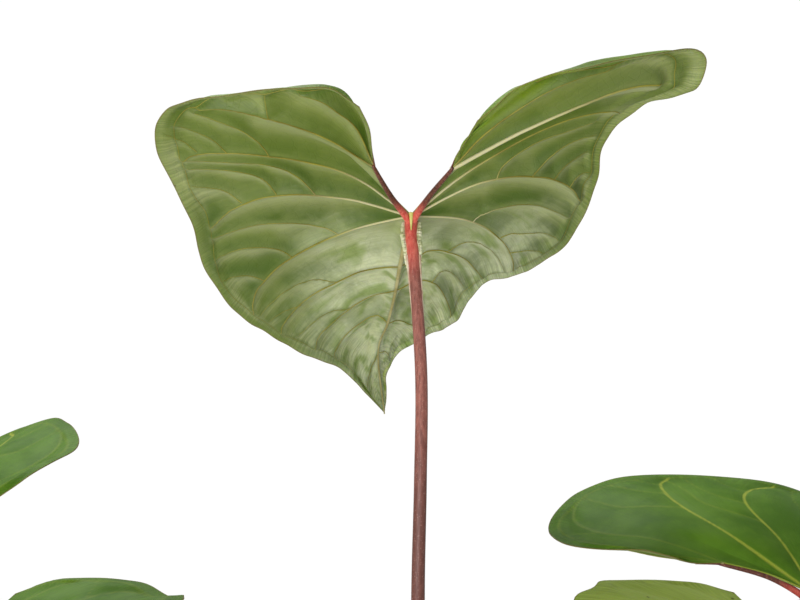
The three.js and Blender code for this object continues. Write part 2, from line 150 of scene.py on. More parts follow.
# Veins of each half: the width where they start, then places (rib, share of the way to the
# margin). The first group leaves the spine, the second branches, and the last follows the margin.
FULL_VEINS = [
    (0.85, [(0.8, 0), (0.8, 0.3), (1.0, 0.5), (1.1, 0.7), (1.35, 0.87)]),
    (1.0, [(2, 0), (1.95, 0.2), (2, 0.5), (2.1, 0.65), (2.3, 0.82), (2.7, 0.91)]),
    (1.15, [(4, 0.02), (4.05, 0.3), (4, 0.6), (4.05, 0.84), (4.2, 0.93)]),
    (1.15, [(5, 0.02), (4.95, 0.4), (4.95, 0.6), (5, 0.8), (5.2, 0.93)]),
    (1.05, [(7, 0.02), (7, 0.5), (7, 0.8), (7.15, 0.9), (7.4, 0.95)]),
    (0.85, [(8, 0), (8, 0.5), (8.05, 0.85), (8.2, 0.95)]),
    (0.75, [(9, 0), (9.05, 0.5), (9, 0.8), (9.15, 0.93)]),
    (0.65, [(10, 0), (9.7, 0.2), (9.6, 0.5), (9.6, 0.85), (9.8, 0.93)]),
    (0.5, [(11, 0), (10.9, 0.5), (11, 0.9)]),
    (0.5, [(2.08, 0.65), (1.85, 0.75), (1.6, 0.92)]),
    (0.6, [(4, 0.6), (3.5, 0.63), (3.1, 0.69), (2.9, 0.9)]),
    (0.5, [(4.02, 0.75), (3.7, 0.81), (3.45, 0.93)]),
    (0.45, [(4.03, 0.86), (3.85, 0.91), (3.7, 0.97)]),
    (0.6, [(4.93, 0.46), (4.58, 0.53), (4.35, 0.62), (4.28, 0.76), (4.15, 0.93)]),
    (0.55, [(4.93, 0.62), (4.65, 0.67), (4.48, 0.75), (4.38, 0.84), (4.32, 0.94)]),
    (0.5, [(4.95, 0.77), (4.7, 0.84), (4.55, 0.95)]),
    (0.6, [(7, 0.37), (6.45, 0.47), (6.08, 0.56), (5.78, 0.7), (5.6, 0.83), (5.45, 0.93)]),
    (0.6, [(7, 0.62), (6.6, 0.68), (6.28, 0.76), (6.1, 0.84), (6, 0.95)]),
    (0.5, [(7, 0.79), (6.68, 0.85), (6.5, 0.92), (6.4, 0.97)]),
    (0.5, [(8, 0.45), (7.75, 0.58), (7.6, 0.78), (7.5, 0.95)]),
    (0.45, [(8.05, 0.7), (7.88, 0.82), (7.8, 0.95)]),
    (0.45, [(9, 0.5), (8.75, 0.65), (8.6, 0.92)]),
    (0.42, [(0.5, 0.8), (1.35, 0.87), (2, 0.92), (2.7, 0.91), (3.4, 0.93), (4.15, 0.93),
            (4.65, 0.95), (5.2, 0.93), (5.95, 0.94), (6.5, 0.965), (7.4, 0.955), (8.2, 0.95),
            (9.1, 0.93), (10, 0.93), (11, 0.92)]),
]
CURLED_VEINS = [
    (0.9, [(2, 0), (1.9, 0.3), (1.9, 0.6), (2, 0.8), (2.4, 0.9)]),
    (2.0, [(3, 0), (2.95, 0.3), (2.93, 0.55), (3.1, 0.72), (3.6, 0.85)]),
    (1.3, [(5, 0.02), (5, 0.3), (5, 0.6), (5, 0.85), (5.2, 0.94)]),
    (1.2, [(7, 0.02), (6.95, 0.3), (6.95, 0.6), (7.1, 0.82), (7.3, 0.93)]),
    (1.1, [(9, 0.02), (8.95, 0.3), (9, 0.6), (9.05, 0.85), (9.15, 0.95)]),
    (0.9, [(10, 0), (10, 0.4), (10, 0.75), (9.9, 0.94)]),
    (0.75, [(11, 0), (11, 0.5), (11, 0.85), (11.1, 0.93)]),
    (0.6, [(12, 0), (12, 0.5), (12, 0.9)]),
    (0.45, [(13, 0), (12.9, 0.5), (13, 0.9)]),
    (0.6, [(6.93, 0.4), (6.3, 0.45), (5.93, 0.51), (5.7, 0.61), (5.6, 0.76), (5.4, 0.88)]),
    (0.6, [(6.95, 0.58), (6.35, 0.7), (6, 0.81), (5.83, 0.94)]),
    (0.5, [(7, 0.71), (6.6, 0.8), (6.25, 0.93)]),
    (0.45, [(7.1, 0.82), (6.85, 0.88), (6.7, 0.96)]),
    (0.6, [(8.95, 0.38), (8.2, 0.42), (7.85, 0.53), (7.7, 0.67), (7.67, 0.8), (7.65, 0.92)]),
    (0.6, [(8.97, 0.63), (8.62, 0.69), (8.35, 0.76), (8.15, 0.84), (8.05, 0.95)]),
    (0.5, [(9.05, 0.78), (8.65, 0.86), (8.4, 0.96)]),
    (0.5, [(10, 0.45), (9.6, 0.58), (9.45, 0.75), (9.35, 0.94)]),
    (0.45, [(11, 0.45), (10.6, 0.62), (10.4, 0.92)]),
    (0.42, [(1.4, 0.86), (2.4, 0.9), (3, 0.92), (3.6, 0.9), (4.4, 0.94), (5.2, 0.94),
            (5.9, 0.95), (6.6, 0.95), (7.3, 0.93), (8, 0.955), (8.6, 0.955), (9.15, 0.95),
            (9.9, 0.94), (11.1, 0.93), (12.2, 0.92)]),
]
SWAY = 0.11
STALK_END = np.array((0, 0.44, 0.9)) / math.hypot(0.44, 0.9)


def reshaped(half, move):
    ribs = [(start, [move(np.array(p, float)) for p in by]) for start, by in half["ribs"]]
    return {"basal": [move(np.array(p, float)) for p in half["basal"]], "ribs": ribs}


EVEN_HALF = reshaped(FULL_HALF, lambda p: p + np.array((SWAY * max(p[1], 0), 0, 0)))
EVEN_MIRRORED = reshaped(EVEN_HALF, lambda p: p * np.array((-1, 1, 1)))
STRAIGHT_MIDRIB = [(0, y, z) for _, y, z in MIDRIB]
MOVED_SHARE = (0, 0.55, 1)


def nudged(half, shifts):
    """A half with its ribs' ends moved, from the first rib on, and their middles by about half."""
    ribs = []
    for i, (start, by) in enumerate(half["ribs"]):
        shift = np.array(shifts[i] if i < len(shifts) else (0, 0, 0), float)
        ribs.append((start, [p + share * shift for p, share in zip(by, MOVED_SHARE)]))
    return {"basal": half["basal"], "ribs": ribs}


def up(x, y, z):
    return np.array((x, y, z + SOIL_LEVEL), float)


def even(at, turn, size, arch, lean, tone, way, moved=((), ())):
    """One of the smaller, even-sided leaves: turn is yaw, pitch and roll in degrees, tone how
    pale its upper face is, and moved the shifts of each half's rib ends."""
    return {
        "halves": (nudged(EVEN_HALF, moved[0]), nudged(EVEN_MIRRORED, moved[1])),
        "veins": (FULL_VEINS, FULL_VEINS),
        "midrib": STRAIGHT_MIDRIB,
        "at": at,
        "turn": turn,
        "size": size,
        "arch": arch,
        "lean": lean,
        "relief": 0.3,
        "tone": tone,
        "way": way,
    }


LEAVES = {
    "tall": {
        "halves": (FULL_HALF, CURLED_HALF),
        "veins": (FULL_VEINS, CURLED_VEINS),
        "midrib": MIDRIB,
        "at": up(-4, -20, 321),
        "turn": (0, 0, 0),
        "size": 1,
        "arch": 0,
        "lean": 0,
        "relief": 1,
        "tone": 0.3,
        "way": [up(0, 0, 32), up(0, -14, 84), up(-1, -33, 148), up(0, -40, 202),
                up(0.4, -37, 250), up(-2.8, -28, 299)],
    },
    "right": even(up(178, -16, 150), (-86, 12, 42), 1.02, 2.7, -0.9, 0,
                  [up(0, 0, 18), up(32, -2, 46), up(86, -6, 92), up(140, -11, 128)],
                  ([(0, 13, 2), (-2, 5, 3), (6, -4, -7), (5, 0, -7), (5, 6, -3), (-1, 2, 5),
                    (0, 3, 9), (0, 2, 5), (0, 1, 2)], ())),
    "left": even(up(-267, 8, 155), (69, -1, -31), 1.02, 2.4, -0.6, 0,
                 [up(0, 0, 22), up(-48, -2, 66), up(-122, 2, 116), up(-206, 6, 137)],
                 ((), [(1, 1, 2), (1, 4, 3), (-3, -2, -6), (-1, 0, -2), (3, -1, 6), (6, -3, 9),
                       (3, -1, 5), (1, 0, 2)])),
    "front_left": even(up(-199, -178, 126), (160, -2, 12), 0.86, 1.2, 0, 0,
                       [up(0, 0, 14), up(-30, -26, 46), up(-85, -75, 88), up(-146, -130, 109)],
                       ([(1, 1, 2), (-1, 0, 1), (1, 0, 0), (1, 0, -2), (-8, -5, 11), (-4, -4, 9),
                         (-2, -2, 4), (-1, -1, 2)], ())),
    "front_right": even(up(160, -172, 126), (-160, -2, -12), 0.84, 1.2, 0, 0.9,
                        [up(0, 0, 28), up(18, -30, 60), up(58, -82, 94), up(112, -133, 111)],
                        ((), [(-1, 1, 3), (0, 0, 0), (2, -1, 1), (-4, 2, 3), (6, -4, 9),
                              (8, -6, 10), (4, -3, 5), (2, -1, 2)])),
    "back": even(up(46, 128, 66), (-14, -6, -6), 0.82, 0.9, 0, 0.2,
                 [up(0, 0, 24), up(10, 28, 42), up(26, 70, 52), up(38, 104, 51)]),
}


def turn_of(leaf):
    yaw, pitch, roll = (math.radians(a) for a in leaf["turn"])
    turn = Matrix.Rotation(yaw, 3, "Z") @ Matrix.Rotation(pitch, 3, "X")
    return np.array(turn @ Matrix.Rotation(roll, 3, "Y"))


def arched(leaf, p):
    """The blade curves down away from the stalk, more on one side by its lean."""
    curve = leaf["arch"] + leaf["lean"] * np.clip(p[..., :1] / 60, -1, 1)
    return p - STALK_END * curve * (p**2).sum(-1, keepdims=True) / 1000


def placed(leaf, p):
    """From the leaf's own axes to the plant's."""
    return p * leaf["size"] @ turn_of(leaf).T + leaf["at"]


def half_points(leaf, side, rib, share):
    """Points of a half blade, before it is placed, at a rib coordinate and a share of its way."""
    half = leaf["halves"][side]
    midrib = arched(leaf, np.array(leaf["midrib"], float))
    basal = arched(leaf, np.array(half["basal"], float))
    tip = midrib[-1]
    by = arched(leaf, np.array([points for _, points in half["ribs"]], float))
    by = np.concatenate([by, np.broadcast_to(tip, (1, 3, 3))])
    start = np.array([station for station, _ in half["ribs"]] + [5.0])
    last = len(by) - 1
    k = np.minimum(rib.astype(int), last - 1)
    station = start[k] + (rib - k) * (start[k + 1] - start[k])
    spine = np.where(
        (station < 0)[:, None], through(basal, 1 + station), through(midrib, station / 5)
    )
    across = [through(by[:, j], rib / last) for j in range(3)]
    return through(np.stack([spine, *across], axis=1), share)


def rib_rows(leaf, step):
    """Rib coordinates of the grid rows of both halves; beyond the stalk the two halves agree."""
    counts = []
    for side in (0, 1):
        last = len(leaf["halves"][side]["ribs"])
        edges = half_points(leaf, side, np.arange(last + 1.0), np.ones(last + 1))
        gaps = np.linalg.norm(np.diff(edges, axis=0), axis=1) * leaf["size"]
        counts.append(np.maximum(np.round(gaps / step), 4).astype(int))
    shared = np.maximum(counts[0][-5:], counts[1][-5:])
    rows = []
    for count in counts:
        count[-5:] = shared
        spans = [k + np.arange(n) / n for k, n in enumerate(count)]
        rows.append(np.concatenate([*spans, [len(count)]]))
    return rows


# ---- meshes ----------------------------------------------------------------------------------
def mesh_object(name, points, faces, material, attributes=None, corner_uv=None, sharp=50):
    """A mesh object from points in millimetres, with point attributes and a corner UV map."""
    mesh = bpy.data.meshes.new(name)
    mesh.from_pydata((np.asarray(points) * MM).tolist(), [], [tuple(map(int, f)) for f in faces])
    for label, values in (attributes or {}).items():
        layer = mesh.attributes.new(label, "FLOAT", "POINT")
        layer.data.foreach_set("value", np.asarray(values, np.float32))
    if corner_uv is not None:
        layer = mesh.uv_layers.new(name="surface")
        layer.data.foreach_set("uv", np.asarray(corner_uv, np.float32).ravel())
    mesh.polygons.foreach_set("use_smooth", [True] * len(mesh.polygons))
    mesh.set_sharp_from_angle(angle=math.radians(sharp))
    mesh.materials.append(material)
    made = bpy.data.objects.new(name, mesh)
    bpy.context.scene.collection.objects.link(made)
    return made


def show(piece, slot, *nodes):
    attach(piece, "root")
    if nodes:
        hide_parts(*nodes)
    return piece


def blurred(field, passes):
    """A grid field softened along both directions."""
    for _ in range(passes):
        padded = np.pad(field, 1, mode="edge")
        field = (padded[:-2, 1:-1] + 2 * padded[1:-1, 1:-1] + padded[2:, 1:-1]) / 4
        padded = np.pad(field, 1, mode="edge")
        field = (padded[1:-1, :-2] + 2 * padded[1:-1, 1:-1] + padded[1:-1, 2:]) / 4
    return field


def grid_lookup(grid, row, column):
    """Values of a grid between its rows and columns."""
    i = np.clip(row.astype(int), 0, grid.shape[0] - 2)
    j = np.clip(column.astype(int), 0, grid.shape[1] - 2)
    f = (row - i)[:, None]
    g = (column - j)[:, None]
    near = grid[i, j] * (1 - g) + grid[i, j + 1] * g
    far = grid[i + 1, j] * (1 - g) + grid[i + 1, j + 1] * g
    return near * (1 - f) + far * f


VEIN_SAMPLE = 0.8
THICK_VEIN_RADIUS = 0.8
COLUMNS = {"tall": 86, "right": 78, "left": 78}
ROW_STEP = {"tall": 1.7, "right": 2.1, "left": 2.1}


def vein_lines(leaf):
    """Each vein as (side, rank, start width, rib coordinates, shares), evenly sampled.
    Its rank is 0 if it leaves the spine, 1 for a branch and 2 for the line along the margin."""
    lines = []
    for side in (0, 1):
        for order, (width, route) in enumerate(leaf["veins"][side]):
            rank = 0 if order < 9 else 1 if order < len(leaf["veins"][side]) - 1 else 2
            coarse = through(np.array(route, float), np.linspace(0, 1, 40))
            points = half_points(leaf, side, coarse[:, 0], coarse[:, 1])
            length = np.linalg.norm(np.diff(points, axis=0), axis=1).sum()
            t = np.linspace(0, 1, max(int(length / VEIN_SAMPLE), 8))
            places = through(np.array(route, float), t)
            lines.append((side, rank, width, places[:, 0], np.clip(places[:, 1], 0, 0.985)))
    return lines


def cell_fields(lines, side, top_rank, rows, share, local):
    """Each grid place's distance, along its column, from the vein before it and to the next."""
    steps = np.linalg.norm(np.diff(local, axis=0), axis=2)
    run = np.concatenate([np.zeros((1, len(share))), np.cumsum(steps, axis=0)])
    before, after = run.copy(), run[-1] - run
    places = np.arange(len(rows))
    for vein_side, rank, _, rib, part in lines:
        if vein_side != side or rank > top_rank:
            continue
        order = np.argsort(part)
        for j in np.nonzero((share >= part.min()) & (share <= part.max()))[0]:
            row = np.interp(np.interp(share[j], part[order], rib[order]), rows, places)
            gap = run[:, j] - np.interp(row, places, run[:, j])
            past = gap >= 0
            before[past, j] = np.minimum(before[past, j], gap[past])
            after[~past, j] = np.minimum(after[~past, j], -gap[~past])
    return before, after


def tree_of(points):
    tree = kdtree.KDTree(len(points))
    for i, p in enumerate(points):
        tree.insert(p, i)
    tree.balance()
    return tree


def build_blade(name, leaf):
    """The blade's closed mesh, its veins' paths and its bare ribs' paths, in millimetres."""
    rows = rib_rows(leaf, ROW_STEP.get(name, 3.2))
    columns = COLUMNS.get(name, 64)
    share = np.linspace(0, 1, columns)
    lines = vein_lines(leaf)
    spine = arched(leaf, np.array(leaf["midrib"], float))
    spine = [through(spine, np.linspace(0, 1, 240))]
    for side in (0, 1):
        basal = arched(leaf, np.array(leaf["halves"][side]["basal"], float))
        spine.append(through(basal, np.linspace(0, 1, 60)))
    spine_tree = tree_of(np.concatenate(spine))
    veins = [half_points(leaf, side, rib, part) for side, _, _, rib, part in lines]
    tree = tree_of(np.concatenate([*veins, *spine]))
    bold = [v for v, line in zip(veins, lines) if line[2] > BOLD_VEIN]
    bold_tree = tree_of(np.concatenate([*bold, *spine]))

    grids, fields, flat_uv = [], [], []
    for side in (0, 1):
        rib, part = (g.ravel() for g in np.meshgrid(rows[side], share, indexing="ij"))
        local = half_points(leaf, side, rib, part)
        gap = np.array([tree.find(p)[2] for p in local])
        bold_gap = np.array([bold_tree.find(p)[2] for p in local])
        shape = (len(rows[side]), columns)
        length = np.linalg.norm(np.diff(local.reshape(*shape, 3), axis=1), axis=2).sum(1)
        grid = local.reshape(*shape, 3)
        down = np.cumsum(np.linalg.norm(np.diff(grid, axis=0), axis=2), axis=0)
        inner_edge = np.concatenate([np.zeros((1, columns)), down])
        outer = ((1 - part).reshape(shape) * length[:, None]).ravel()
        margin = np.minimum(outer, inner_edge.ravel())
        from_spine = np.array([spine_tree.find(p)[2] for p in local])
        before, after = cell_fields(lines, side, 1, rows[side], share, grid)
        width = np.maximum(before + after, 1e-6)
        cell = (before / width).ravel()
        rise = np.minimum(CELL_RISE * width.ravel(), CELL_RISE_LIMIT)
        height = rise * np.sin(math.pi * cell) ** PUFF_ROUNDNESS
        before, after = cell_fields(lines, side, 0, rows[side], share, grid)
        wide = np.maximum(before + after, 1e-6).ravel()
        main_rise = np.minimum(MAIN_RISE * wide, MAIN_RISE_LIMIT)
        main_cell = before.ravel() / wide
        height += main_rise * np.sin(math.pi * main_cell)
        lobe = smooth(0, -40, local[:, 1])
        at_margin = MARGIN_SHARE - MARGIN_LOSS_ON_LOBE * lobe
        inner = at_margin + (1 - at_margin) * smooth(0, MARGIN_FADE, outer)
        inner *= smooth(0, MARGIN_FADE, inner_edge.ravel())
        inner *= smooth(0, SPINE_FADE + SPINE_FADE_ON_LOBE * lobe, from_spine)
        height *= inner * (1 - LOBE_FLATTENING * lobe)
        out = np.abs(local[:, 0] + 5)
        near_middle = 1 - smooth(48, 90, out) if side else 1 - smooth(22, 60, out)
        centre = smooth(4, 50, local[:, 1]) * near_middle
        folds = np.array([
            noise.noise(Vector((r * 5.0, s * 4.0, side)))
            + 0.5 * noise.noise(Vector((r * 13.0, s * 8.0, 5 + side)))
            for r, s in zip(rib, part)
        ])
        height += folds * (0.15 + 1.0 * centre) * inner
        height += np.sin(rib * 9.0 + side) * smooth(0.8, 1, part) * 0.35
        height = leaf["relief"] * blurred(height.reshape(shape), 1).ravel()
        # Painted light just past each vein and painted shade just before the next, stored for the
        # underside's colour
        light = smooth(0, 0.13, cell) * (1 - smooth(0.16, 0.6, cell))
        dark = smooth(0.34, 0.84, cell) * (1 - smooth(0.92, 1, cell))
        main_dark = smooth(0.45, 0.88, main_cell) * (1 - smooth(0.94, 1, main_cell))
        dark = np.maximum(dark, 0.85 * main_dark * smooth(3, 14, wide))
        near_veins = smooth(0, 3.5, margin) * smooth(0.8, 4.5, width.ravel())
        grids.append(local)
        fields.append({
            "height": height,
            "vein_gap": gap,
            "bold_gap": bold_gap,
            "painted_light_past_vein": blurred((light * near_veins).reshape(shape), 1).ravel(),
            "painted_shade_before_vein": blurred((dark * near_veins).reshape(shape), 1).ravel(),
            "margin": margin,
            # Painted sheen over the lower centre of the underside
            "painted_sheen_area": centre,
            # Painted glow of light coming through the basal lobe of the second half
            "painted_glow_lobe": (1 - smooth(1.5, 2.05, rib)) * side,
            # Painted shade in the hollows of the folds
            "painted_fold_shade": smooth(0.05, 0.5, -folds) * centre,
            # Painted shade over the lower outer part of the half towards -X
            "painted_shade_lower_side": smooth(25, 85, -local[:, 0]) * smooth(-10, 45, local[:, 1]),
            # Painted shade over the basal lobes
            "painted_shade_lobes": smooth(-10, -45, local[:, 1]) * (1 - smooth(60, 115, local[:, 0])),
        })
        flat_uv.append(np.stack([rib * 0.25 + 20 * side, part], axis=1))

    loose = np.concatenate(grids)
    _, first, joined = np.unique(
        np.round(loose * 1000).astype(np.int64), axis=0, return_index=True, return_inverse=True
    )
    joined = joined.ravel()
    uv = np.concatenate(flat_uv)
    middle = placed(leaf, loose[first])
    data = {k: np.concatenate([f[k] for f in fields])[first] for k in fields[0]}
    faces, offset = [], 0
    for side in (0, 1):
        index = offset + np.arange(len(grids[side])).reshape(len(rows[side]), columns)
        a, b = index[:-1, :-1].ravel(), index[:-1, 1:].ravel()
        d, c = index[1:, :-1].ravel(), index[1:, 1:].ravel()
        corners = np.concatenate([np.stack([a, c, b], 1), np.stack([a, d, c], 1)])
        faces.append(corners[:, ::-1] if side else corners)
        offset += len(grids[side])
    faces = np.concatenate(faces)
    merged = joined[faces]
    kept = (merged[:, 0] != merged[:, 1]) & (merged[:, 1] != merged[:, 2]) & (
        merged[:, 2] != merged[:, 0])
    faces, merged = faces[kept], merged[kept]
    normals = np.zeros_like(middle)
    p, q, r = (middle[merged[:, k]] for k in range(3))
    across = np.cross(q - p, r - p)
    for k in range(3):
        np.add.at(normals, merged[:, k], across)
    normals /= np.maximum(np.linalg.norm(normals, axis=1, keepdims=True), 1e-9)

    lifted = middle + normals * data.pop("height")[:, None]
    thin = BLADE_THICKNESS / 2 * (0.55 + 0.45 * smooth(0, 6, data["margin"]))[:, None]
    count = len(middle)
    top, under = lifted + normals * thin, lifted - normals * thin
    edges = np.concatenate([merged[:, [0, 1]], merged[:, [1, 2]], merged[:, [2, 0]]])
    edge_uv = np.concatenate([uv[faces[:, [0, 1]]], uv[faces[:, [1, 2]]], uv[faces[:, [2, 0]]]])
    forward = edges[:, 0] * count + edges[:, 1]
    lonely = ~np.isin(forward, edges[:, 1] * count + edges[:, 0])
    i, j = edges[lonely].T
    walls = np.concatenate([np.stack([j, i, i + count], 1), np.stack([j, i + count, j + count], 1)])
    ui, uj = edge_uv[lonely, 0], edge_uv[lonely, 1]
    wall_uv = np.concatenate([np.stack([uj, ui, ui], 1), np.stack([uj, ui, uj], 1)])
    mesh = {
        "points": np.concatenate([top, under]),
        "faces": np.concatenate([merged, merged[:, ::-1] + count, walls]),
        "uv": np.concatenate([uv[faces], uv[faces][:, ::-1], wall_uv]),
        "attributes": {k: np.concatenate([v, v]) for k, v in data.items()},
    }
    mesh["attributes"]["upper"] = np.repeat([1.0, 0.0], count)
    mesh["attributes"]["tone"] = np.full(2 * count, float(leaf["tone"]))

    paths = []
    under_grids, offset = [], 0
    for side in (0, 1):
        size = len(grids[side])
        shape = (len(rows[side]), columns, 3)
        under_grids.append(under[joined[offset:offset + size]].reshape(shape))
        offset += size
    for side, _, width, rib, part in lines:
        row = np.interp(rib, rows[side], np.arange(len(rows[side])))
        points = grid_lookup(under_grids[side], row, part * (columns - 1))
        t = np.linspace(0, 1, len(points))
        radius = width * 0.5 * (1 - 0.62 * t**0.8) * leaf["size"]
        radius[-3:] *= (0.8, 0.5, 0.2)
        paths.append((points, radius))
    return mesh, paths


def spine_paths(leaf):
    """The midrib's ridge and the two bare basal ribs, from inside the stalk's head outwards."""
    square = turn_of(leaf) @ STALK_END
    size = leaf["size"]
    midrib = placed(leaf, arched(leaf, np.array(leaf["midrib"], float)))
    t = np.linspace(0, 1, 90)
    ridge = through(midrib, t) - square * (BLADE_THICKNESS / 2) * size
    midrib_path = (ridge, size * (0.75 * (1 - t) ** 1.2 + 0.35 + 1.2 * np.exp(-16 * t)))
    arms = []
    for side in (0, 1):
        half = leaf["halves"][side]
        basal = placed(leaf, arched(leaf, np.array(half["basal"], float)))[::-1]
        outer = half_points(leaf, side, np.zeros(2), np.array([0.06, 0.3]))
        outer = placed(leaf, outer)
        out = basal[1] - basal[0]
        out /= np.linalg.norm(out)
        sideways = out - square * (out @ square)
        start = leaf["at"] - square * 11 * size + sideways * 0.3 * size
        bend = leaf["at"] - square * 4.2 * size + sideways * 1.6 * size
        lie = [p - square * d * size for p, d in zip(basal[1:], (1.3, 0.9))]
        points = np.array([start, bend, *lie, *(p - square * 0.5 for p in outer)])
        t = np.linspace(0, 1, 90)
        radius = size * np.interp(t, (0, 0.2, 0.4, 0.6, 0.8, 1), (1.8, 1.75, 1.25, 0.85, 0.45, 0.1))
        arms.append((through(points, t), radius))
    return midrib_path, arms


# ---- shading ---------------------------------------------------------------------------------
def srgb(red, green, blue):
    """A linear colour from the usual 0 to 255 values."""
    parts = (c / 255 for c in (red, green, blue))
    return (*(p / 12.92 if p <= 0.04045 else ((p + 0.055) / 1.055) ** 2.4 for p in parts), 1)


def add(tree, kind, values=None, **settings):
    """A node with its settings, and its inputs set to constants or linked to other outputs."""
    made = tree.nodes.new(kind)
    for key, value in settings.items():
        setattr(made, key, value)
    return filled(tree, made, values or {})


def filled(tree, made, values):
    """A node's inputs, by name or place, set to constants or linked to other outputs."""
    for key, value in values.items():
        if isinstance(value, bpy.types.NodeSocket):
            tree.links.new(value, made.inputs[key])
        else:
            made.inputs[key].default_value = value
    return made


def new_group(name, kind, inputs, outputs):
    """A node group with named inputs (name: (socket type, default)) and outputs."""
    tree = bpy.data.node_groups.new(name, kind)
    for label, (socket, default) in inputs.items():
        made = tree.interface.new_socket(label, in_out="INPUT", socket_type=socket)
        if default is not None:
            made.default_value = default
    for label, socket in outputs.items():
        tree.interface.new_socket(label, in_out="OUTPUT", socket_type=socket)
    return tree, tree.nodes.new("NodeGroupInput"), tree.nodes.new("NodeGroupOutput")


def use(tree, group, values):
    return filled(tree, add(tree, "ShaderNodeGroup", node_tree=group), values)


def ramp(tree, value, low, high, start=0.0, end=1.0):
    """A value eased from start to end as the input goes from low to high."""
    made = add(tree, "ShaderNodeMapRange", {
        "Value": value, "From Min": low, "From Max": high, "To Min": start, "To Max": end,
    }, interpolation_type="SMOOTHSTEP")
    return made.outputs["Result"]


def mixed(tree, share, first, second, blend="MIX"):
    """The mix of two colours; a colour Mix node has its sockets at places 0, 6 and 7."""
    made = add(tree, "ShaderNodeMix", data_type="RGBA", blend_type=blend)
    return filled(tree, made, {0: share, 6: first, 7: second}).outputs[2]


def times(tree, first, second, operation="MULTIPLY"):
    """Two values multiplied, or joined by another operation."""
    made = add(tree, "ShaderNodeMath", operation=operation)
    return filled(tree, made, {0: first, 1: second}).outputs[0]


def named(tree, label, output="Fac"):
    return add(tree, "ShaderNodeAttribute", attribute_name=label).outputs[output]


def mottle_group():
    """Two colours mixed by soft uneven patches."""
    tree, into, out = new_group(
        "mottle", "ShaderNodeTree",
        {"Vector": ("NodeSocketVector", None), "Scale": ("NodeSocketFloat", 30.0),
         "Light": ("NodeSocketColor", None), "Dark": ("NodeSocketColor", None)},
        {"Color": "NodeSocketColor", "Mask": "NodeSocketFloat"},
    )
    patches = add(tree, "ShaderNodeTexNoise", {
        "Vector": into.outputs["Vector"], "Scale": into.outputs["Scale"],
        "Detail": 5.0, "Roughness": 0.6,
    })
    mask = ramp(tree, patches.outputs["Fac"], 0.34, 0.66)
    both = mixed(tree, mask, into.outputs["Dark"], into.outputs["Light"])
    tree.links.new(both, out.inputs["Color"])
    tree.links.new(mask, out.inputs["Mask"])
    return tree


def cell_lines_group():
    """Thin lines between the cells of an uneven net."""
    tree, into, out = new_group(
        "cell_lines", "ShaderNodeTree",
        {"Vector": ("NodeSocketVector", None), "Scale": ("NodeSocketFloat", 200.0),
         "Width": ("NodeSocketFloat", 0.05)},
        {"Mask": "NodeSocketFloat"},
    )
    wobble = add(tree, "ShaderNodeTexNoise", {
        "Vector": into.outputs["Vector"], "Scale": into.outputs["Scale"], "Detail": 2.0})
    bent = add(tree, "ShaderNodeVectorMath", {
        0: wobble.outputs["Color"], 1: (0.004, 0.004, 0.004)}, operation="MULTIPLY")
    place = add(tree, "ShaderNodeVectorMath", {
        0: into.outputs["Vector"], 1: bent.outputs["Vector"]}, operation="ADD")
    cells = add(tree, "ShaderNodeTexVoronoi", {
        "Vector": place.outputs["Vector"], "Scale": into.outputs["Scale"]},
        feature="DISTANCE_TO_EDGE")
    line = add(tree, "ShaderNodeMapRange", {
        "Value": cells.outputs["Distance"], "From Min": 0.0, "From Max": into.outputs["Width"],
        "To Min": 1.0, "To Max": 0.0})
    tree.links.new(line.outputs["Result"], out.inputs["Mask"])
    return tree


def grain_group():
    """A surface normal roughened by fine even grain."""
    tree, into, out = new_group(
        "grain", "ShaderNodeTree",
        {"Vector": ("NodeSocketVector", None), "Scale": ("NodeSocketFloat", 600.0),
         "Strength": ("NodeSocketFloat", 0.3), "Distance": ("NodeSocketFloat", 0.0004)},
        {"Normal": "NodeSocketVector"},
    )
    grain = add(tree, "ShaderNodeTexNoise", {
        "Vector": into.outputs["Vector"], "Scale": into.outputs["Scale"],
        "Detail": 4.0, "Roughness": 0.6})
    bump = add(tree, "ShaderNodeBump", {
        "Height": grain.outputs["Fac"], "Strength": into.outputs["Strength"],
        "Distance": into.outputs["Distance"]})
    tree.links.new(bump.outputs["Normal"], out.inputs["Normal"])
    return tree


MOTTLE = mottle_group()
CELL_LINES = cell_lines_group()
GRAIN = grain_group()


def material(name):
    """A new material: its tree, its Principled node and its object coordinates."""
    made = bpy.data.materials.new(name)
    made.use_nodes = True
    tree = made.node_tree
    skin = tree.nodes["Principled BSDF"]
    place = add(tree, "ShaderNodeTexCoord").outputs["Object"]
    return made, tree, skin, place


def simple_material(name, light, dark, scale, roughness, grain, strength, distance=0.0004):
    """Two mottled colours over a fine grain, rougher where it is darker."""
    made, tree, skin, place = material(name)
    patches = use(tree, MOTTLE, {"Vector": place, "Scale": scale, "Light": light, "Dark": dark})
    tree.links.new(patches.outputs["Color"], skin.inputs["Base Color"])
    rough = ramp(tree, patches.outputs["Mask"], 0, 1, roughness + 0.08, roughness - 0.05)
    tree.links.new(rough, skin.inputs["Roughness"])
    bump = use(tree, GRAIN, {
        "Vector": place, "Scale": grain, "Strength": strength, "Distance": distance})
    tree.links.new(bump.outputs["Normal"], skin.inputs["Normal"])
    return made


UNDER_LIGHT = srgb(156, 164, 100)
UNDER_MID = srgb(130, 142, 70)
# Painted light for the tissue just past each vein
UNDER_PAINTED_LIGHT = srgb(178, 184, 130)
# Painted shade for the tissue before and beside each vein, also the colour of the fine lines and
# striae
UNDER_SHADE_AND_LINES = srgb(68, 94, 16)
# Painted shade for the lower outer side
UNDER_SIDE_SHADE = srgb(96, 118, 34)
# Painted shade in the hollows of the folds
UNDER_FOLD_SHADE = srgb(112, 138, 30)
# Painted shade for the basal lobes
UNDER_LOBE_SHADE = srgb(108, 124, 38)
# Painted glow of light coming through the leaf
UNDER_PAINTED_GLOW = srgb(126, 148, 22)
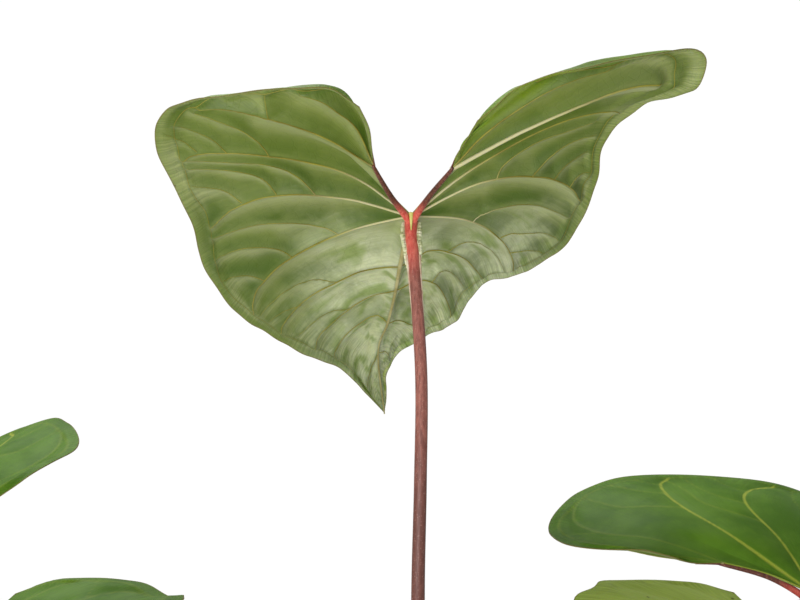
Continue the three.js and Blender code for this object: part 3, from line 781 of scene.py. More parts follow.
# Painted sheen, a silvery reflection on the underside
UNDER_PAINTED_SHEEN = srgb(210, 214, 178)
UPPER_LIGHT = srgb(92, 130, 36)
UPPER_DARK = srgb(70, 108, 24)
UPPER_PALE = srgb(176, 198, 92)
UPPER_VEIN = srgb(168, 178, 66)
MARGIN_BROWN = srgb(120, 98, 60)


def leaf_material():
    """Both faces of a blade: sage green below, deeper and glossier above. Below, painted shade
    darkens the tissue before and beside each vein, in the folds, on the lower outer side and on the
    basal lobes, painted light brightens it past each vein, a painted sheen silvers the lower centre
    and a painted glow stands for light through one lobe.
    """
    made, tree, skin, place = material("leaf_skin")
    uv = add(tree, "ShaderNodeUVMap", uv_map="surface").outputs["UV"]
    margin = named(tree, "margin")
    upper = named(tree, "upper")
    tissue = use(tree, MOTTLE, {
        "Vector": place, "Scale": 26.0, "Light": UNDER_LIGHT, "Dark": UNDER_MID}).outputs
    # Patches that break up the painted shade, the painted glow and the painted sheen below
    painted_light_patches = use(tree, MOTTLE, {
        "Vector": place, "Scale": 34.0, "Light": (1, 1, 1, 1), "Dark": (0, 0, 0, 1)}).outputs
    # Painted shade just before each vein, broken up by patches
    shade = times(tree, named(tree, "painted_shade_before_vein"), ramp(tree, painted_light_patches["Mask"], 0, 1, 0.6, 1))
    # Painted shade over the lower outer side
    under = mixed(tree, times(tree, named(tree, "painted_shade_lower_side"), 0.35), tissue["Color"], UNDER_SIDE_SHADE)
    under = mixed(tree, times(tree, shade, 0.95), under, UNDER_SHADE_AND_LINES)
    # Painted light just past each vein
    under = mixed(tree, times(tree, named(tree, "painted_light_past_vein"), 0.8), under, UNDER_PAINTED_LIGHT)
    # Painted shade over the basal lobes
    under = mixed(tree, times(tree, named(tree, "painted_shade_lobes"), 0.4), under, UNDER_LOBE_SHADE)
    # Painted glow of light through the basal lobe
    glow = times(tree, named(tree, "painted_glow_lobe"), ramp(tree, painted_light_patches["Mask"], 0, 1, 0.4, 0.8))
    under = mixed(tree, glow, under, UNDER_PAINTED_GLOW)
    # Painted sheen, silvering the lower centre
    painted_sheen = times(tree, named(tree, "painted_sheen_area"), ramp(tree, painted_light_patches["Mask"], 0, 1, 0.9, 0.4))
    under = mixed(tree, painted_sheen, under, UNDER_PAINTED_SHEEN)
    # Painted shade in the hollows of the folds
    under = mixed(tree, times(tree, named(tree, "painted_fold_shade"), 0.65), under, UNDER_FOLD_SHADE)
    vein_gap = named(tree, "vein_gap")
    # Painted shade right beside each vein
    under = mixed(tree, ramp(tree, vein_gap, 0.4, 1.7, 0.4, 0), under, UNDER_SHADE_AND_LINES)
    above = use(tree, MOTTLE, {
        "Vector": place, "Scale": 30.0, "Light": UPPER_LIGHT, "Dark": UPPER_DARK})
    above = mixed(tree, named(tree, "tone"), above.outputs["Color"], UPPER_PALE)
    above = mixed(tree, ramp(tree, vein_gap, 0.2, 1.4, 0.16, 0), above, UPPER_VEIN)
    above = mixed(tree, ramp(tree, named(tree, "bold_gap"), 0.3, 1.1, 0.75, 0), above, UPPER_VEIN)
    green = mixed(tree, upper, under, above)
    stretched = add(tree, "ShaderNodeMapping", {"Vector": uv, "Scale": (115.0, 4.0, 1.0)})
    striae = add(tree, "ShaderNodeTexNoise", {
        "Vector": stretched.outputs["Vector"], "Scale": 1.0, "Detail": 3.0}).outputs["Fac"]
    fade = ramp(tree, margin, 1.0, 26.0, 0.9, 0.3)
    green = mixed(tree, times(tree, ramp(tree, striae, 0.36, 0.64), fade), green,
                  mixed(tree, 0.45, green, UNDER_SHADE_AND_LINES))
    net = use(tree, CELL_LINES, {"Vector": place, "Scale": 190.0, "Width": 0.06})
    below = times(tree, 1.0, upper, "SUBTRACT")
    lines = times(tree, net.outputs["Mask"], below)
    green = mixed(tree, times(tree, lines, 0.08), green, UNDER_SHADE_AND_LINES)
    speck = add(tree, "ShaderNodeTexVoronoi", {"Vector": place, "Scale": 55.0})
    chosen = ramp(tree, add(tree, "ShaderNodeSeparateColor", {
        "Color": speck.outputs["Color"]}).outputs["Red"], 0.86, 0.88)
    spots = times(tree, ramp(tree, speck.outputs["Distance"], 0.03, 0.06, 1, 0), chosen)
    green = mixed(tree, times(tree, spots, 0.8), green, srgb(70, 62, 34))
    edge = ramp(tree, margin, 0.15, 0.8, 1, 0)
    green = mixed(tree, times(tree, edge, 0.7), green, MARGIN_BROWN)
    tree.links.new(green, skin.inputs["Base Color"])
    rough = ramp(tree, tissue["Mask"], 0, 1, 0.6, 0.52)
    tree.links.new(rough, skin.inputs["Roughness"])
    tree.links.new(ramp(tree, upper, 0, 1, 0.35, 0.08), skin.inputs["Specular IOR Level"])
    relief = times(tree, times(tree, striae, fade), times(tree, lines, -0.2), "ADD")
    bump = add(tree, "ShaderNodeBump", {"Height": relief, "Strength": 0.5, "Distance": 0.0006})
    fine = add(tree, "ShaderNodeTexNoise", {"Vector": place, "Scale": 700.0, "Detail": 3.0})
    grain = add(tree, "ShaderNodeBump", {
        "Height": fine.outputs["Fac"], "Strength": 0.25, "Distance": 0.0002,
        "Normal": bump.outputs["Normal"]})
    tree.links.new(grain.outputs["Normal"], skin.inputs["Normal"])
    skin.inputs["Subsurface Weight"].default_value = 0.25
    skin.inputs["Subsurface Radius"].default_value = (0.7, 1.0, 0.12)
    skin.inputs["Subsurface Scale"].default_value = 0.0016
    return made


def vein_material(name, cream_end, olive_start):
    """Veins under a blade: cream near the stalk, then olive yellow."""
    made, tree, skin, place = material(name)
    reach = named(tree, "reach")
    patches = use(tree, MOTTLE, {
        "Vector": place, "Scale": 60.0, "Light": srgb(154, 148, 54), "Dark": srgb(122, 114, 30)})
    colour = mixed(tree, ramp(tree, reach, cream_end, olive_start, 0.85, 0), patches.outputs["Color"],
                   srgb(216, 210, 164))
    tree.links.new(colour, skin.inputs["Base Color"])
    rough = ramp(tree, patches.outputs["Mask"], 0, 1, 0.6, 0.48)
    tree.links.new(rough, skin.inputs["Roughness"])
    bump = use(tree, GRAIN, {"Vector": place, "Scale": 900.0, "Strength": 0.2})
    tree.links.new(bump.outputs["Normal"], skin.inputs["Normal"])
    skin.inputs["Subsurface Weight"].default_value = 0.25
    skin.inputs["Subsurface Radius"].default_value = (0.7, 0.9, 0.2)
    skin.inputs["Subsurface Scale"].default_value = 0.0012
    return made


def stalk_material(name, red_reach, brown_reach, body_light, body_dark, foot):
    """Stalk skin: bright red near the blade's joint, then body colours, finely speckled."""
    made, tree, skin, place = material(name)
    reach = named(tree, "reach")
    along = add(tree, "ShaderNodeMapping", {"Vector": place, "Scale": (900.0, 900.0, 160.0)})
    streaks = add(tree, "ShaderNodeTexNoise", {
        "Vector": along.outputs["Vector"], "Scale": 1.0, "Detail": 4.0, "Roughness": 0.7})
    body = mixed(tree, ramp(tree, streaks.outputs["Fac"], 0.3, 0.7), body_dark, body_light)
    body = mixed(tree, ramp(tree, reach, 0.08, 0.14, 0, 0.75), body, foot)
    red = mixed(tree, ramp(tree, streaks.outputs["Fac"], 0.3, 0.7),
                srgb(198, 62, 54), srgb(230, 118, 100))
    colour = mixed(tree, ramp(tree, reach, red_reach, brown_reach, 1, 0), body, red)
    dots = add(tree, "ShaderNodeTexVoronoi", {"Vector": place, "Scale": 900.0})
    pale = times(tree, ramp(tree, dots.outputs["Distance"], 0.1, 0.3, 1, 0), 0.28)
    colour = mixed(tree, pale, colour, srgb(214, 176, 160))
    tree.links.new(colour, skin.inputs["Base Color"])
    rough = ramp(tree, streaks.outputs["Fac"], 0.3, 0.7, 0.6, 0.46)
    tree.links.new(rough, skin.inputs["Roughness"])
    relief = add(tree, "ShaderNodeBump", {
        "Height": streaks.outputs["Fac"], "Strength": 0.35, "Distance": 0.0004})
    grain = add(tree, "ShaderNodeBump", {
        "Height": dots.outputs["Distance"], "Strength": 0.15, "Distance": 0.0002,
        "Normal": relief.outputs["Normal"]})
    tree.links.new(grain.outputs["Normal"], skin.inputs["Normal"])
    skin.inputs["Subsurface Weight"].default_value = 0.15
    skin.inputs["Subsurface Radius"].default_value = (1.0, 0.4, 0.25)
    skin.inputs["Subsurface Scale"].default_value = 0.0015
    return made


def chip_material():
    """Bark chips, each with a tone of its own, with long fibres."""
    made, tree, skin, place = material("bark_chip")
    tone = named(tree, "tone")
    grain = add(tree, "ShaderNodeTexNoise", {
        "Vector": place, "Scale": 420.0, "Detail": 6.0, "Roughness": 0.7})
    light = mixed(tree, tone, srgb(96, 62, 40), srgb(156, 112, 76))
    dark = mixed(tree, tone, srgb(44, 28, 19), srgb(88, 58, 38))
    colour = mixed(tree, ramp(tree, grain.outputs["Fac"], 0.36, 0.66), dark, light)
    tree.links.new(colour, skin.inputs["Base Color"])
    rough = ramp(tree, grain.outputs["Fac"], 0.3, 0.7, 0.95, 0.78)
    tree.links.new(rough, skin.inputs["Roughness"])
    bump = add(tree, "ShaderNodeBump", {
        "Height": grain.outputs["Fac"], "Strength": 0.8, "Distance": 0.001})
    tree.links.new(bump.outputs["Normal"], skin.inputs["Normal"])
    return made


def clay_material():
    """Unglazed terracotta: soft mottling, throwing rings and a pale bloom of lime."""
    made, tree, skin, place = material("terracotta")
    base = use(tree, MOTTLE, {
        "Vector": place, "Scale": 22.0, "Light": srgb(196, 120, 84), "Dark": srgb(168, 92, 62)})
    flat = add(tree, "ShaderNodeMapping", {"Vector": place, "Scale": (6.0, 6.0, 260.0)})
    rings = add(tree, "ShaderNodeTexNoise", {
        "Vector": flat.outputs["Vector"], "Scale": 1.0, "Detail": 3.0}).outputs["Fac"]
    colour = mixed(tree, ramp(tree, rings, 0.35, 0.7, 0, 0.3), base.outputs["Color"],
                   srgb(150, 80, 54))
    bloom = add(tree, "ShaderNodeTexNoise", {
        "Vector": place, "Scale": 38.0, "Detail": 8.0, "Roughness": 0.72}).outputs["Fac"]
    height = add(tree, "ShaderNodeSeparateXYZ", {"Vector": place}).outputs["Z"]
    low = ramp(tree, height, 0.0, 0.07, 0.75, 0.25)
    colour = mixed(tree, times(tree, ramp(tree, bloom, 0.5, 0.72), low), colour,
                   srgb(222, 196, 172))
    tree.links.new(colour, skin.inputs["Base Color"])
    rough = ramp(tree, bloom, 0.3, 0.7, 0.78, 0.94)
    tree.links.new(rough, skin.inputs["Roughness"])
    bump = add(tree, "ShaderNodeBump", {"Height": rings, "Strength": 0.35, "Distance": 0.0012})
    grain = use(tree, GRAIN, {"Vector": place, "Scale": 800.0, "Strength": 0.35})
    blend = add(tree, "ShaderNodeVectorMath", {
        0: bump.outputs["Normal"], 1: grain.outputs["Normal"]}, operation="ADD")
    both = add(tree, "ShaderNodeVectorMath", {0: blend.outputs["Vector"]}, operation="NORMALIZE")
    tree.links.new(both.outputs["Vector"], skin.inputs["Normal"])
    return made


LEAF_SKIN = leaf_material()
VEIN_CORD = vein_material("vein_cord", 0.02, 0.056)
PALE_CORD = vein_material("pale_cord", 0.07, 0.13)
STALK_SKIN = stalk_material("stalk_skin", 0.012, 0.034, srgb(178, 112, 98), srgb(126, 72, 62),
                            srgb(98, 60, 52))
RIB_SKIN = stalk_material("rib_skin", 0.006, 0.02, srgb(122, 66, 46), srgb(70, 34, 24),
                          srgb(110, 44, 34))
MIDRIB_SKIN = simple_material(
    "midrib_skin", srgb(192, 184, 128), srgb(156, 146, 84), 90.0, 0.55, 900.0, 0.2)
CALLUS = simple_material(
    "callus", srgb(240, 240, 206), srgb(196, 204, 140), 420.0, 0.7, 1400.0, 0.8)
NOTCH_SKIN = simple_material(
    "notch_skin", srgb(224, 220, 130), srgb(190, 190, 90), 300.0, 0.6, 1200.0, 0.4)
# Pale skin of the painted highlight along the stalk's edges
PAINTED_RIM_HIGHLIGHT = simple_material("stalk_painted_rim_highlight", srgb(232, 214, 188), srgb(196, 160, 132), 160.0, 0.5, 900.0, 0.2)
CLAY = clay_material()
BARK_MIX = simple_material(
    "bark_mix", srgb(84, 58, 40), srgb(38, 25, 18), 120.0, 0.92, 500.0, 1.0, 0.0015)
BARK_CHIP = chip_material()
STEM_SKIN = simple_material(
    "stem_skin", srgb(138, 142, 84), srgb(94, 96, 54), 90.0, 0.68, 600.0, 0.6)
SHEATH_PAPER = simple_material(
    "sheath_paper", srgb(186, 146, 96), srgb(126, 92, 56), 60.0, 0.82, 900.0, 0.5)
ROOT_SKIN = simple_material(
    "root_skin", srgb(206, 190, 156), srgb(156, 138, 104), 160.0, 0.78, 700.0, 0.5)


# ---- pieces that follow a path ---------------------------------------------------------------
def swept_group():
    """Closed round limbs along curves, as thick as the curves' radius."""
    tree, into, out = new_group(
        "swept_limb", "GeometryNodeTree",
        {"Curves": ("NodeSocketGeometry", None), "Sides": ("NodeSocketInt", 10),
         "Origin": ("NodeSocketVector", None), "Material": ("NodeSocketMaterial", None)},
        {"Geometry": "NodeSocketGeometry"},
    )
    place = add(tree, "GeometryNodeInputPosition")
    reach = add(tree, "ShaderNodeVectorMath", {
        0: place.outputs[0], 1: into.outputs["Origin"]}, operation="DISTANCE")
    marked = add(tree, "GeometryNodeStoreNamedAttribute", {
        "Geometry": into.outputs["Curves"], "Name": "reach", "Value": reach.outputs["Value"]},
        data_type="FLOAT", domain="POINT")
    ring = add(tree, "GeometryNodeCurvePrimitiveCircle", {
        "Resolution": into.outputs["Sides"], "Radius": 1.0})
    swept = add(tree, "GeometryNodeCurveToMesh", {
        "Curve": marked.outputs["Geometry"], "Profile Curve": ring.outputs["Curve"],
        "Fill Caps": True})
    if "Scale" in swept.inputs:
        radius = add(tree, "GeometryNodeInputRadius")
        tree.links.new(radius.outputs[0], swept.inputs["Scale"])
    real = add(tree, "GeometryNodeRealizeInstances", {"Geometry": swept.outputs["Mesh"]})
    soft = add(tree, "GeometryNodeSetShadeSmooth", {
        "Geometry": real.outputs["Geometry"], "Shade Smooth": True})
    done = add(tree, "GeometryNodeSetMaterial", {
        "Geometry": soft.outputs["Geometry"], "Material": into.outputs["Material"]})
    tree.links.new(done.outputs["Geometry"], out.inputs["Geometry"])
    return tree


SWEPT = swept_group()


def grown(name, source, tree, values):
    """Runs a geometry tree on a source object and keeps the result as a plain mesh object."""
    source.modifiers.clear()
    changed = source.modifiers.new("build", "NODES")
    changed.node_group = tree
    for item in tree.interface.items_tree:
        if item.item_type == "SOCKET" and item.in_out == "INPUT" and item.name in values:
            changed[item.identifier] = values[item.name]
    graph = bpy.context.evaluated_depsgraph_get()
    mesh = bpy.data.meshes.new_from_object(source.evaluated_get(graph))
    mesh.name = name
    source.modifiers.clear()
    made = bpy.data.objects.new(name, mesh)
    bpy.context.scene.collection.objects.link(made)
    return made


def swept(name, paths, sides, skin, origin=(0, 0, 0)):
    """One mesh of round limbs along paths of (points, radii), in millimetres."""
    line = bpy.data.curves.new(name + "_line", "CURVE")
    line.dimensions = "3D"
    for points, radii in paths:
        spline = line.splines.new("POLY")
        spline.points.add(len(points) - 1)
        flat = np.column_stack([np.asarray(points) * MM, np.ones(len(points))])
        spline.points.foreach_set("co", flat.astype(np.float32).ravel())
        spline.points.foreach_set("radius", (np.asarray(radii) * MM).astype(np.float32))
    source = bpy.data.objects.new(name + "_line", line)
    bpy.context.scene.collection.objects.link(source)
    values = {"Sides": sides, "Origin": tuple(np.array(origin) * MM), "Material": skin}
    made = grown(name, source, SWEPT, values)
    bpy.data.objects.remove(source)
    return made


# ---- leaves ----------------------------------------------------------------------------------
def build_leaf(name, leaf):
    mesh, paths = build_blade(name, leaf)
    blade = mesh_object("leaf_" + name, mesh["points"], mesh["faces"], LEAF_SKIN,
                        mesh["attributes"], mesh["uv"])
    show(blade, "leaf_green", "blade_" + name)
    sides = 8 if name in ("tall", "left", "right") else 6
    thick = [path for path in paths if path[1][0] > THICK_VEIN_RADIUS]
    thin = [path for path in paths if path[1][0] <= THICK_VEIN_RADIUS]
    show(swept("veins_" + name, thin, sides, VEIN_CORD, leaf["at"]), "leaf_green")
    if thick:
        show(swept("thick_vein_" + name, thick, 10, PALE_CORD, leaf["at"]), "leaf_green")
    midrib, arms = spine_paths(leaf)
    show(swept("midrib_" + name, [midrib], 12, MIDRIB_SKIN, leaf["at"]), "leaf_green")
    show(swept("basal_ribs_" + name, arms, 16, RIB_SKIN, leaf["at"]), "petiole_skin")


def build_petiole(name, leaf):
    """A stalk with a swollen base and a swollen joint under the blade."""
    square = turn_of(leaf) @ STALK_END
    size = leaf["size"]
    under = BLADE_THICKNESS / 2 + RIB_DEPTH
    head = leaf["at"] - square * (under + 0.2)
    neck = leaf["at"] - square * (under + 9.3)
    t = np.linspace(0, 1, 160)
    points = through([*leaf["way"], neck, head], t)
    slim = 0.55 + 0.45 * size
    base = (PETIOLE_BASE_RADIUS - PETIOLE_RADIUS) * np.exp(-5 * t)
    joint = (PETIOLE_NECK_RADIUS - PETIOLE_RADIUS) * np.exp(-(((1 - t) / 0.09) ** 2))
    radii = slim * (PETIOLE_RADIUS + base + joint)
    stalk = swept("stalk_" + name, [(points, radii)], 28, STALK_SKIN, leaf["at"])
    show(stalk, "petiole_skin", "petiole_" + name)


for leaf_name, leaf_data in LEAVES.items():
    build_leaf(leaf_name, leaf_data)
    build_petiole(leaf_name, leaf_data)


# ---- pot, bark mix, stem ---------------------------------------------------------------------
def turned(profile, segments):
    """Points and faces of a solid turned about the Z axis; the profile ends on the axis."""
    rings = profile[1:-1]
    angle = np.linspace(0, 2 * math.pi, segments, endpoint=False)
    points = [(r * c, r * s, z) for r, z in rings for c, s in zip(np.cos(angle), np.sin(angle))]
    faces = []
    for i in range(len(rings) - 1):
        for k in range(segments):
            n = (k + 1) % segments
            a, b = i * segments + k, i * segments + n
            faces.append((a, b, b + segments, a + segments))
    low, high = len(points), len(points) + 1
    points += [(0, 0, profile[0][1]), (0, 0, profile[-1][1])]
    last = (len(rings) - 1) * segments
    for k in range(segments):
        n = (k + 1) % segments
        faces.append((low, n, k))
        faces.append((high, last + k, last + n))
    return points, faces


def wall_at(z):
    return POT_BASE_RADIUS + POT_SLOPE * z


def arc(centre, radius, start, end, steps):
    """Profile points round an arc, its angles in degrees."""
    angles = np.radians(np.linspace(start, end, steps))
    return [(centre[0] + radius * math.cos(a), centre[1] + radius * math.sin(a)) for a in angles]


def build_pot():
    band = POT_HEIGHT - RIM_HEIGHT
    top = wall_at(POT_HEIGHT)
    profile = [(0, 0.0), (POT_BASE_RADIUS - 9, 0)]
    profile += arc((POT_BASE_RADIUS - 3, 3), 3, -90, -9, 6)
    profile += [(wall_at(z) + 0.12 * math.sin(z * 0.9), z) for z in np.linspace(6, band - 5, 30)]
    profile += [(wall_at(band - 3) + 0.6, band - 3), (wall_at(band - 1) + 3.0, band - 1)]
    profile += [(wall_at(band) + 3.8, band), (wall_at(band + 1.5) + 4, band + 1.5)]
    profile += [(wall_at(z) + 4 - 0.03 * (z - band), z) for z in np.linspace(band + 5, 145, 6)]
    profile += arc((top, POT_HEIGHT - 2.6), 2.6, 15, 90, 7)
    profile += arc((top - POT_WALL + 2.4, POT_HEIGHT - 2.4), 2.4, 90, 178, 7)
    profile += [(wall_at(z) - POT_WALL, z) for z in np.linspace(140, POT_FLOOR + 3, 10)]
    profile += [(wall_at(POT_FLOOR) - POT_WALL - 3, POT_FLOOR), (0, POT_FLOOR)]
    pot = mesh_object("clay_pot", *turned(profile, 144), CLAY)
    cutters = []
    for i in range(DRAIN_COUNT):
        angle = 2 * math.pi * (i + 0.25) / DRAIN_COUNT
        shift = DRAIN_CIRCLE * np.array((math.cos(angle), math.sin(angle), 0))
        past = POT_FLOOR + 1
        points, faces = turned([(0, -1), (DRAIN_RADIUS, -1), (DRAIN_RADIUS, past), (0, past)], 32)
        cutters.append(mesh_object(f"drain_{i}", np.array(points) + shift, faces, CLAY))
        cut = pot.modifiers.new("drain", "BOOLEAN")
        cut.object = cutters[-1]
        cut.solver = "EXACT"
    graph = bpy.context.evaluated_depsgraph_get()
    holed = bpy.data.meshes.new_from_object(pot.evaluated_get(graph))
    pot.modifiers.clear()
    pot.data = holed
    for cutter in cutters:
        bpy.data.objects.remove(cutter)
    show(pot, "clay", "pot")


def build_bark_mix():
    """The mix as one lumpy solid, for the chips to lie on."""
    inside = wall_at(SOIL_LEVEL) - POT_WALL - 0.5
    low = wall_at(POT_FLOOR) - POT_WALL - 0.5
    profile = [(0, POT_FLOOR + 0.4), (low, POT_FLOOR + 0.4), (inside - 0.6, SOIL_LEVEL - 4)]
    profile += [(r, SOIL_LEVEL - 1.6) for r in np.linspace(inside - 2, 13.5, 30)]
    profile += [(12.6, SOIL_LEVEL - 2.4), (0, SOIL_LEVEL - 6)]
    points, faces = turned(profile, 120)
    lumpy = []
    for x, y, z in points:
        lump = noise.noise(Vector((x * 0.12, y * 0.12, 3))) * 1.6
        fine = noise.noise(Vector((x * 0.4, y * 0.4, 9))) * 0.8
        lumpy.append((x, y, z + (lump + fine) * (z > SOIL_LEVEL - 5)))
    show(mesh_object("mix_bed", lumpy, faces, BARK_MIX), "bark_mix", "bark_mix")


def chips_group():
    """Flat broken chips strewn over a surface, each turned, sized and toned by itself."""
    tree, into, out = new_group(
        "strewn_chips", "GeometryNodeTree",
        {"Surface": ("NodeSocketGeometry", None), "Density": ("NodeSocketFloat", 60000.0),
         "Chip Size": ("NodeSocketFloat", 0.008), "Seed": ("NodeSocketInt", 4),
         "Material": ("NodeSocketMaterial", None)},
        {"Geometry": "NodeSocketGeometry"},
    )
    points = add(tree, "GeometryNodeDistributePointsOnFaces", {
        "Mesh": into.outputs["Surface"], "Density": into.outputs["Density"],
        "Seed": into.outputs["Seed"]})
    tone = add(tree, "FunctionNodeRandomValue", {"Seed": 21}, data_type="FLOAT")
    toned = add(tree, "GeometryNodeStoreNamedAttribute", {
        "Geometry": points.outputs["Points"], "Name": "tone", "Value": tone.outputs[1]},
        data_type="FLOAT", domain="POINT")
    shapes = []
    for k, proportions in enumerate(((1.5, 0.9, 0.45), (1.1, 0.8, 0.6), (1.9, 0.6, 0.35))):
        size = add(tree, "ShaderNodeVectorMath", {
            0: proportions, "Scale": into.outputs["Chip Size"]}, operation="SCALE")
        block = add(tree, "GeometryNodeMeshCube", {
            "Size": size.outputs["Vector"], "Vertices X": 4, "Vertices Y": 3, "Vertices Z": 2})
        rough = add(tree, "ShaderNodeTexNoise", {
            "Vector": add(tree, "GeometryNodeInputPosition").outputs[0],
            "Scale": 260.0, "W": k * 3.7}, noise_dimensions="4D")
        middle = add(tree, "ShaderNodeVectorMath", {
            0: rough.outputs["Color"], 1: (0.5, 0.5, 0.5)}, operation="SUBTRACT")
        reach = add(tree, "ShaderNodeMath", {
            0: into.outputs["Chip Size"], 1: 0.75}, operation="MULTIPLY")
        offset = add(tree, "ShaderNodeVectorMath", {
            0: middle.outputs["Vector"], "Scale": reach.outputs[0]}, operation="SCALE")
        shapes.append(add(tree, "GeometryNodeSetPosition", {
            "Geometry": block.outputs["Mesh"], "Offset": offset.outputs["Vector"]}))
    pool = add(tree, "GeometryNodeGeometryToInstance")
    for shape in shapes:
        tree.links.new(shape.outputs["Geometry"], pool.inputs["Geometry"])
    turn = add(tree, "FunctionNodeRandomValue", {
        0: (-0.45, -0.45, 0.0), 1: (0.45, 0.45, 6.283), "Seed": 5}, data_type="FLOAT_VECTOR")
    scale = add(tree, "FunctionNodeRandomValue", {2: 0.55, 3: 1.25, "Seed": 8}, data_type="FLOAT")
    strewn = add(tree, "GeometryNodeInstanceOnPoints", {
        "Points": toned.outputs["Geometry"], "Instance": pool.outputs["Instances"],
        "Pick Instance": True, "Rotation": turn.outputs[0], "Scale": scale.outputs[1]})
    real = add(tree, "GeometryNodeRealizeInstances", {"Geometry": strewn.outputs["Instances"]})
    flat = add(tree, "GeometryNodeSetShadeSmooth", {
        "Geometry": real.outputs["Geometry"], "Shade Smooth": False})
    done = add(tree, "GeometryNodeSetMaterial", {
        "Geometry": flat.outputs["Geometry"], "Material": into.outputs["Material"]})
    tree.links.new(done.outputs["Geometry"], out.inputs["Geometry"])
    return tree


def build_chips():
    """Chips over the mix, clear of the wall and the stem."""
    outer = wall_at(SOIL_LEVEL) - POT_WALL - 8
    rings = [(STEM_RADIUS + 7 + (outer - STEM_RADIUS - 7) * i / 12) for i in range(13)]
    angle = np.linspace(0, 2 * math.pi, 72, endpoint=False)
    points = [(r * math.cos(a), r * math.sin(a), SOIL_LEVEL - 1.2) for r in rings for a in angle]
    faces = []
    for i in range(12):
        for k in range(72):
            n = (k + 1) % 72
            faces.append((i * 72 + k, i * 72 + n, i * 72 + 72 + n, i * 72 + 72 + k))
    bed = mesh_object("chip_bed", points, [f[::-1] for f in faces], BARK_CHIP)
    values = {"Density": 52000.0, "Chip Size": 0.0075, "Seed": 4, "Material": BARK_CHIP}
    chips = grown("bark_chips", bed, chips_group(), values)
    bpy.data.objects.remove(bed)
    show(chips, "bark_mix")


def build_stem():
    """A short stem ringed by the scars of fallen leaves."""
    profile = [(0, SOIL_LEVEL - 50), (STEM_RADIUS * 0.8, SOIL_LEVEL - 50)]
    profile += [(STEM_RADIUS * 0.8, SOIL_LEVEL - 14)]
    height = STEM_TOP - SOIL_LEVEL
    for t in np.linspace(0, 1, 70):
        ring = 0.5 - 0.5 * math.cos(t * 8 * math.pi)
        scar = 0.55 * math.exp(-(((t * 4) % 1 - 0.02) / 0.05) ** 2)
        z = SOIL_LEVEL + t * (height - 8)
        profile.append((STEM_RADIUS * (0.89 + 0.11 * ring) * (1 - 0.16 * t) - scar, z))
    profile += [(STEM_RADIUS * 0.72, STEM_TOP - 5), (STEM_RADIUS * 0.5, STEM_TOP - 2.2)]
    profile += [(STEM_RADIUS * 0.2, STEM_TOP - 0.6), (0, STEM_TOP)]
    points, faces = turned(profile, 56)
    rough = []
    for x, y, z in points:
        swell = 1 + 0.035 * noise.noise(Vector((x * 0.2, y * 0.2, z * 0.15)))
        rough.append((x * swell, y * swell, z))
    show(mesh_object("ringed_stem", rough, faces, STEM_SKIN, sharp=70), "stem_skin", "stem")


def build_sheath(name, angle, half_angle, foot, length, lean):
    """A dry papery sheath bent round the stem, standing off it towards its tip."""
    rows, columns, thickness = 40, 24, 0.6
    front, behind = [], []
    for i in range(rows + 1):
        h = i / rows
        half = half_angle * math.sqrt(max(1 - h**1.6, 0)) * (0.85 + 0.4 * h)
        for j in range(columns + 1):
            across = 2 * j / columns - 1
            a = angle + half * across
            crease = 0.35 * math.sin(across * 9) * h + 0.3 * noise.noise(Vector((a * 6, h * 5, 1)))
            r = STEM_RADIUS + 1.15 + lean * h**1.7 + crease
            z = SOIL_LEVEL + foot + length * h
            for grid, radius in ((front, r + thickness / 2), (behind, r - thickness / 2)):
                grid.append((radius * math.cos(a), radius * math.sin(a), z))
    count = len(front)
    wide = columns + 1
    faces = []
    for i in range(rows):
        for j in range(columns):
            a = i * wide + j
            faces.append((a, a + 1, a + 1 + wide, a + wide))
            faces.append((a + wide + count, a + 1 + wide + count, a + 1 + count, a + count))
    border = [(j, j + 1) for j in range(columns)]
    border += [(i * wide + columns, (i + 1) * wide + columns) for i in range(rows)]
    border += [(rows * wide + j + 1, rows * wide + j) for j in reversed(range(columns))]
    border += [((i + 1) * wide, i * wide) for i in reversed(range(rows))]
    faces += [(b, a, a + count, b + count) for a, b in border]
    paper = mesh_object("papery_" + name, front + behind, faces, SHEATH_PAPER, sharp=40)
    show(paper, "sheath_paper", name)


def build_root(name, angle, height, reach, rise):
    def at(r, z):
        return (r * math.cos(angle), r * math.sin(angle), SOIL_LEVEL + z)

    route = [at(STEM_RADIUS - 3, height), at(STEM_RADIUS + 4, height + rise),
             at(STEM_RADIUS + reach * 0.6, height * 0.6), at(STEM_RADIUS + reach, -4)]
    t = np.linspace(0, 1, 60)
    radii = 2.1 * (1.15 - 0.3 * t) * (1 + 0.05 * np.sin(t * 40))
    show(swept("aerial_" + name, [(through(route, t), radii)], 16, ROOT_SKIN), "root_skin", name)


build_pot()
build_bark_mix()
build_chips()
build_stem()
build_sheath("sheath_1", 2.2, 0.42, 5, 52, 9)
build_sheath("sheath_2", 0.6, 0.15, 4, 37.4, 6)
build_root("root_1", 1.15, 9, 26, 3)
build_root("root_2", 2.9, 7, 20, 2)
build_root("root_3", 5.5, 11, 30, 4)


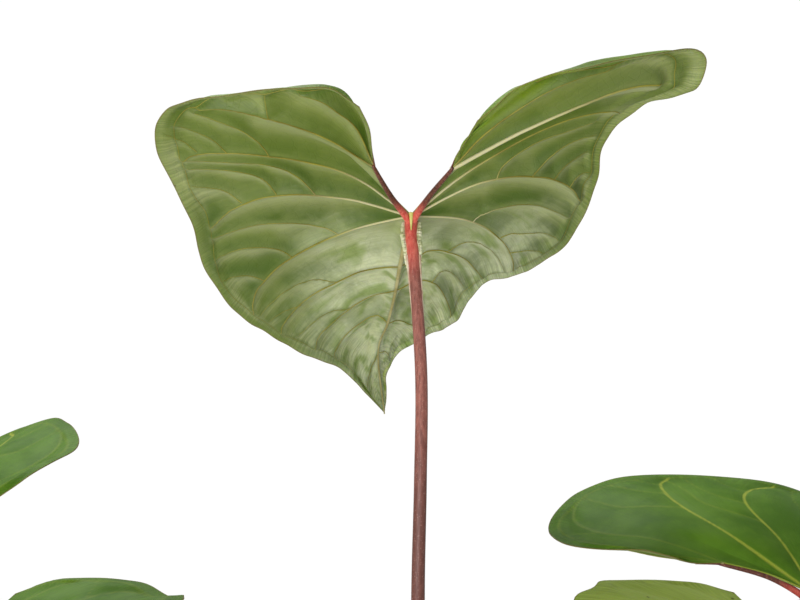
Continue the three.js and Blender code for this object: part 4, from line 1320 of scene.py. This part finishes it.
# ---- joint under the tallest blade -----------------------------------------------------------
def build_callus():
    """Crusty pale strips beside the joint, and thin pale strips down both edges of the stalk, a
    painted highlight of its bright rim.
    """
    leaf = LEAVES["tall"]
    square = turn_of(leaf) @ STALK_END
    neck = leaf["at"] - square * 12
    head = leaf["at"] - square * 3
    spine = through([*leaf["way"], neck, head], np.linspace(0, 1, 1600))
    down = leaf["at"][2] - spine[:, 2]
    edge = PETIOLE_RADIUS + (PETIOLE_NECK_RADIUS - PETIOLE_RADIUS) * np.exp(-((down / 13) ** 2))
    strips, painted_rim_highlights = [], []
    for side in (-1, 1):
        here = (down > 2.5) & (down < 24)
        s = np.linspace(0, 1, here.sum())
        crust = np.array([noise.noise(Vector((v * 30, side * 5, 2))) for v in s])
        crust += 0.6 * np.array([noise.noise(Vector((v * 80, side * 5, 7))) for v in s])
        points = spine[here] + np.column_stack([
            side * (edge[here] + 0.45 + 0.35 * crust), np.full(len(s), 0.2), np.zeros(len(s))])
        strips.append((points, (1.1 + 0.5 * crust) * np.sin(s * math.pi) ** 0.3 + 0.12))
        # Painted highlight: thin pale strips down both edges of the stalk
        here = (down > 18) & (down < 56)
        s = np.linspace(0, 1, here.sum())[::-1]
        points = spine[here] + np.column_stack([
            side * (edge[here] + 0.05 - 0.4 * s), np.full(len(s), -0.5), np.zeros(len(s))])
        painted_rim_highlights.append((points, 0.8 * (1 - s) ** 0.6 + 0.02))
    show(swept("callus_strips", strips, 10, CALLUS), "petiole_skin")
    show(swept("stalk_painted_rim_highlights", painted_rim_highlights, 8, PAINTED_RIM_HIGHLIGHT), "petiole_skin")
    wedge = leaf["at"] + np.array([(0, -6.4, -7.5), (0, -6.3, -2.5), (0, -6.6, 1.2)])
    t = np.linspace(0, 1, 24)
    show(swept("notch_wedge", [(through(wedge, t), 0.15 + 1.0 * t)], 12, NOTCH_SKIN),
         "petiole_skin")


build_callus()

# ---- floor, light and camera -----------------------------------------------------------------
FLOOR = simple_material(
    "pale_floor", srgb(236, 235, 232), srgb(228, 227, 224), 3.0, 0.8, 300.0, 0.05)
bpy.ops.mesh.primitive_circle_add(vertices=96, radius=1.3, fill_type="NGON", location=(0, 0, -0.0005))
floor = bpy.context.object
floor.name = "floor"
floor.data.materials.append(FLOOR)


def softbox(name, place, target, size, watts):
    light = bpy.data.lights.new(name, "AREA")
    light.size = size
    light.energy = watts
    lamp = bpy.data.objects.new(name, light)
    bpy.context.scene.collection.objects.link(lamp)
    lamp.location = place
    lamp.rotation_euler = (Vector(target) - Vector(place)).to_track_quat("-Z", "Y").to_euler()
    return lamp


low_front = softbox("low_front", (-0.3, -0.75, 0.06), (0, 0, 0.42), 0.4, 8)
unlit = bpy.data.collections.new("not_lit_from_below")
unlit.objects.link(floor)
low_front.light_linking.receiver_collection = unlit
unlit.collection_objects[0].light_linking.link_state = "EXCLUDE"
softbox("top_back", (-0.3, 0.5, 1.3), (0, 0, 0.4), 0.8, 11)

world = bpy.data.worlds.new("studio")
world.use_nodes = True
bpy.context.scene.world = world
sky = world.node_tree
seen = add(sky, "ShaderNodeLightPath").outputs["Is Camera Ray"]
plain = add(sky, "ShaderNodeBackground", {"Color": (1, 1, 1, 1), "Strength": 1.02})
glow = sky.nodes["Background"]
glow.inputs["Color"].default_value = (1, 1, 1, 1)
glow.inputs["Strength"].default_value = 0.42
either = add(sky, "ShaderNodeMixShader", {
    0: seen, 1: glow.outputs["Background"], 2: plain.outputs["Background"]})
sky.links.new(either.outputs["Shader"], sky.nodes["World Output"].inputs["Surface"])

camera = bpy.data.objects.new("camera", bpy.data.cameras.new("camera"))
bpy.context.scene.collection.objects.link(camera)
camera.location = (-0.009, -1.12, 0.417)
camera.rotation_euler = (math.pi / 2, 0, 0)
camera.data.lens = 110
camera.data.sensor_width = 36
bpy.context.scene.camera = camera
bpy.context.scene.view_settings.view_transform = "Standard"
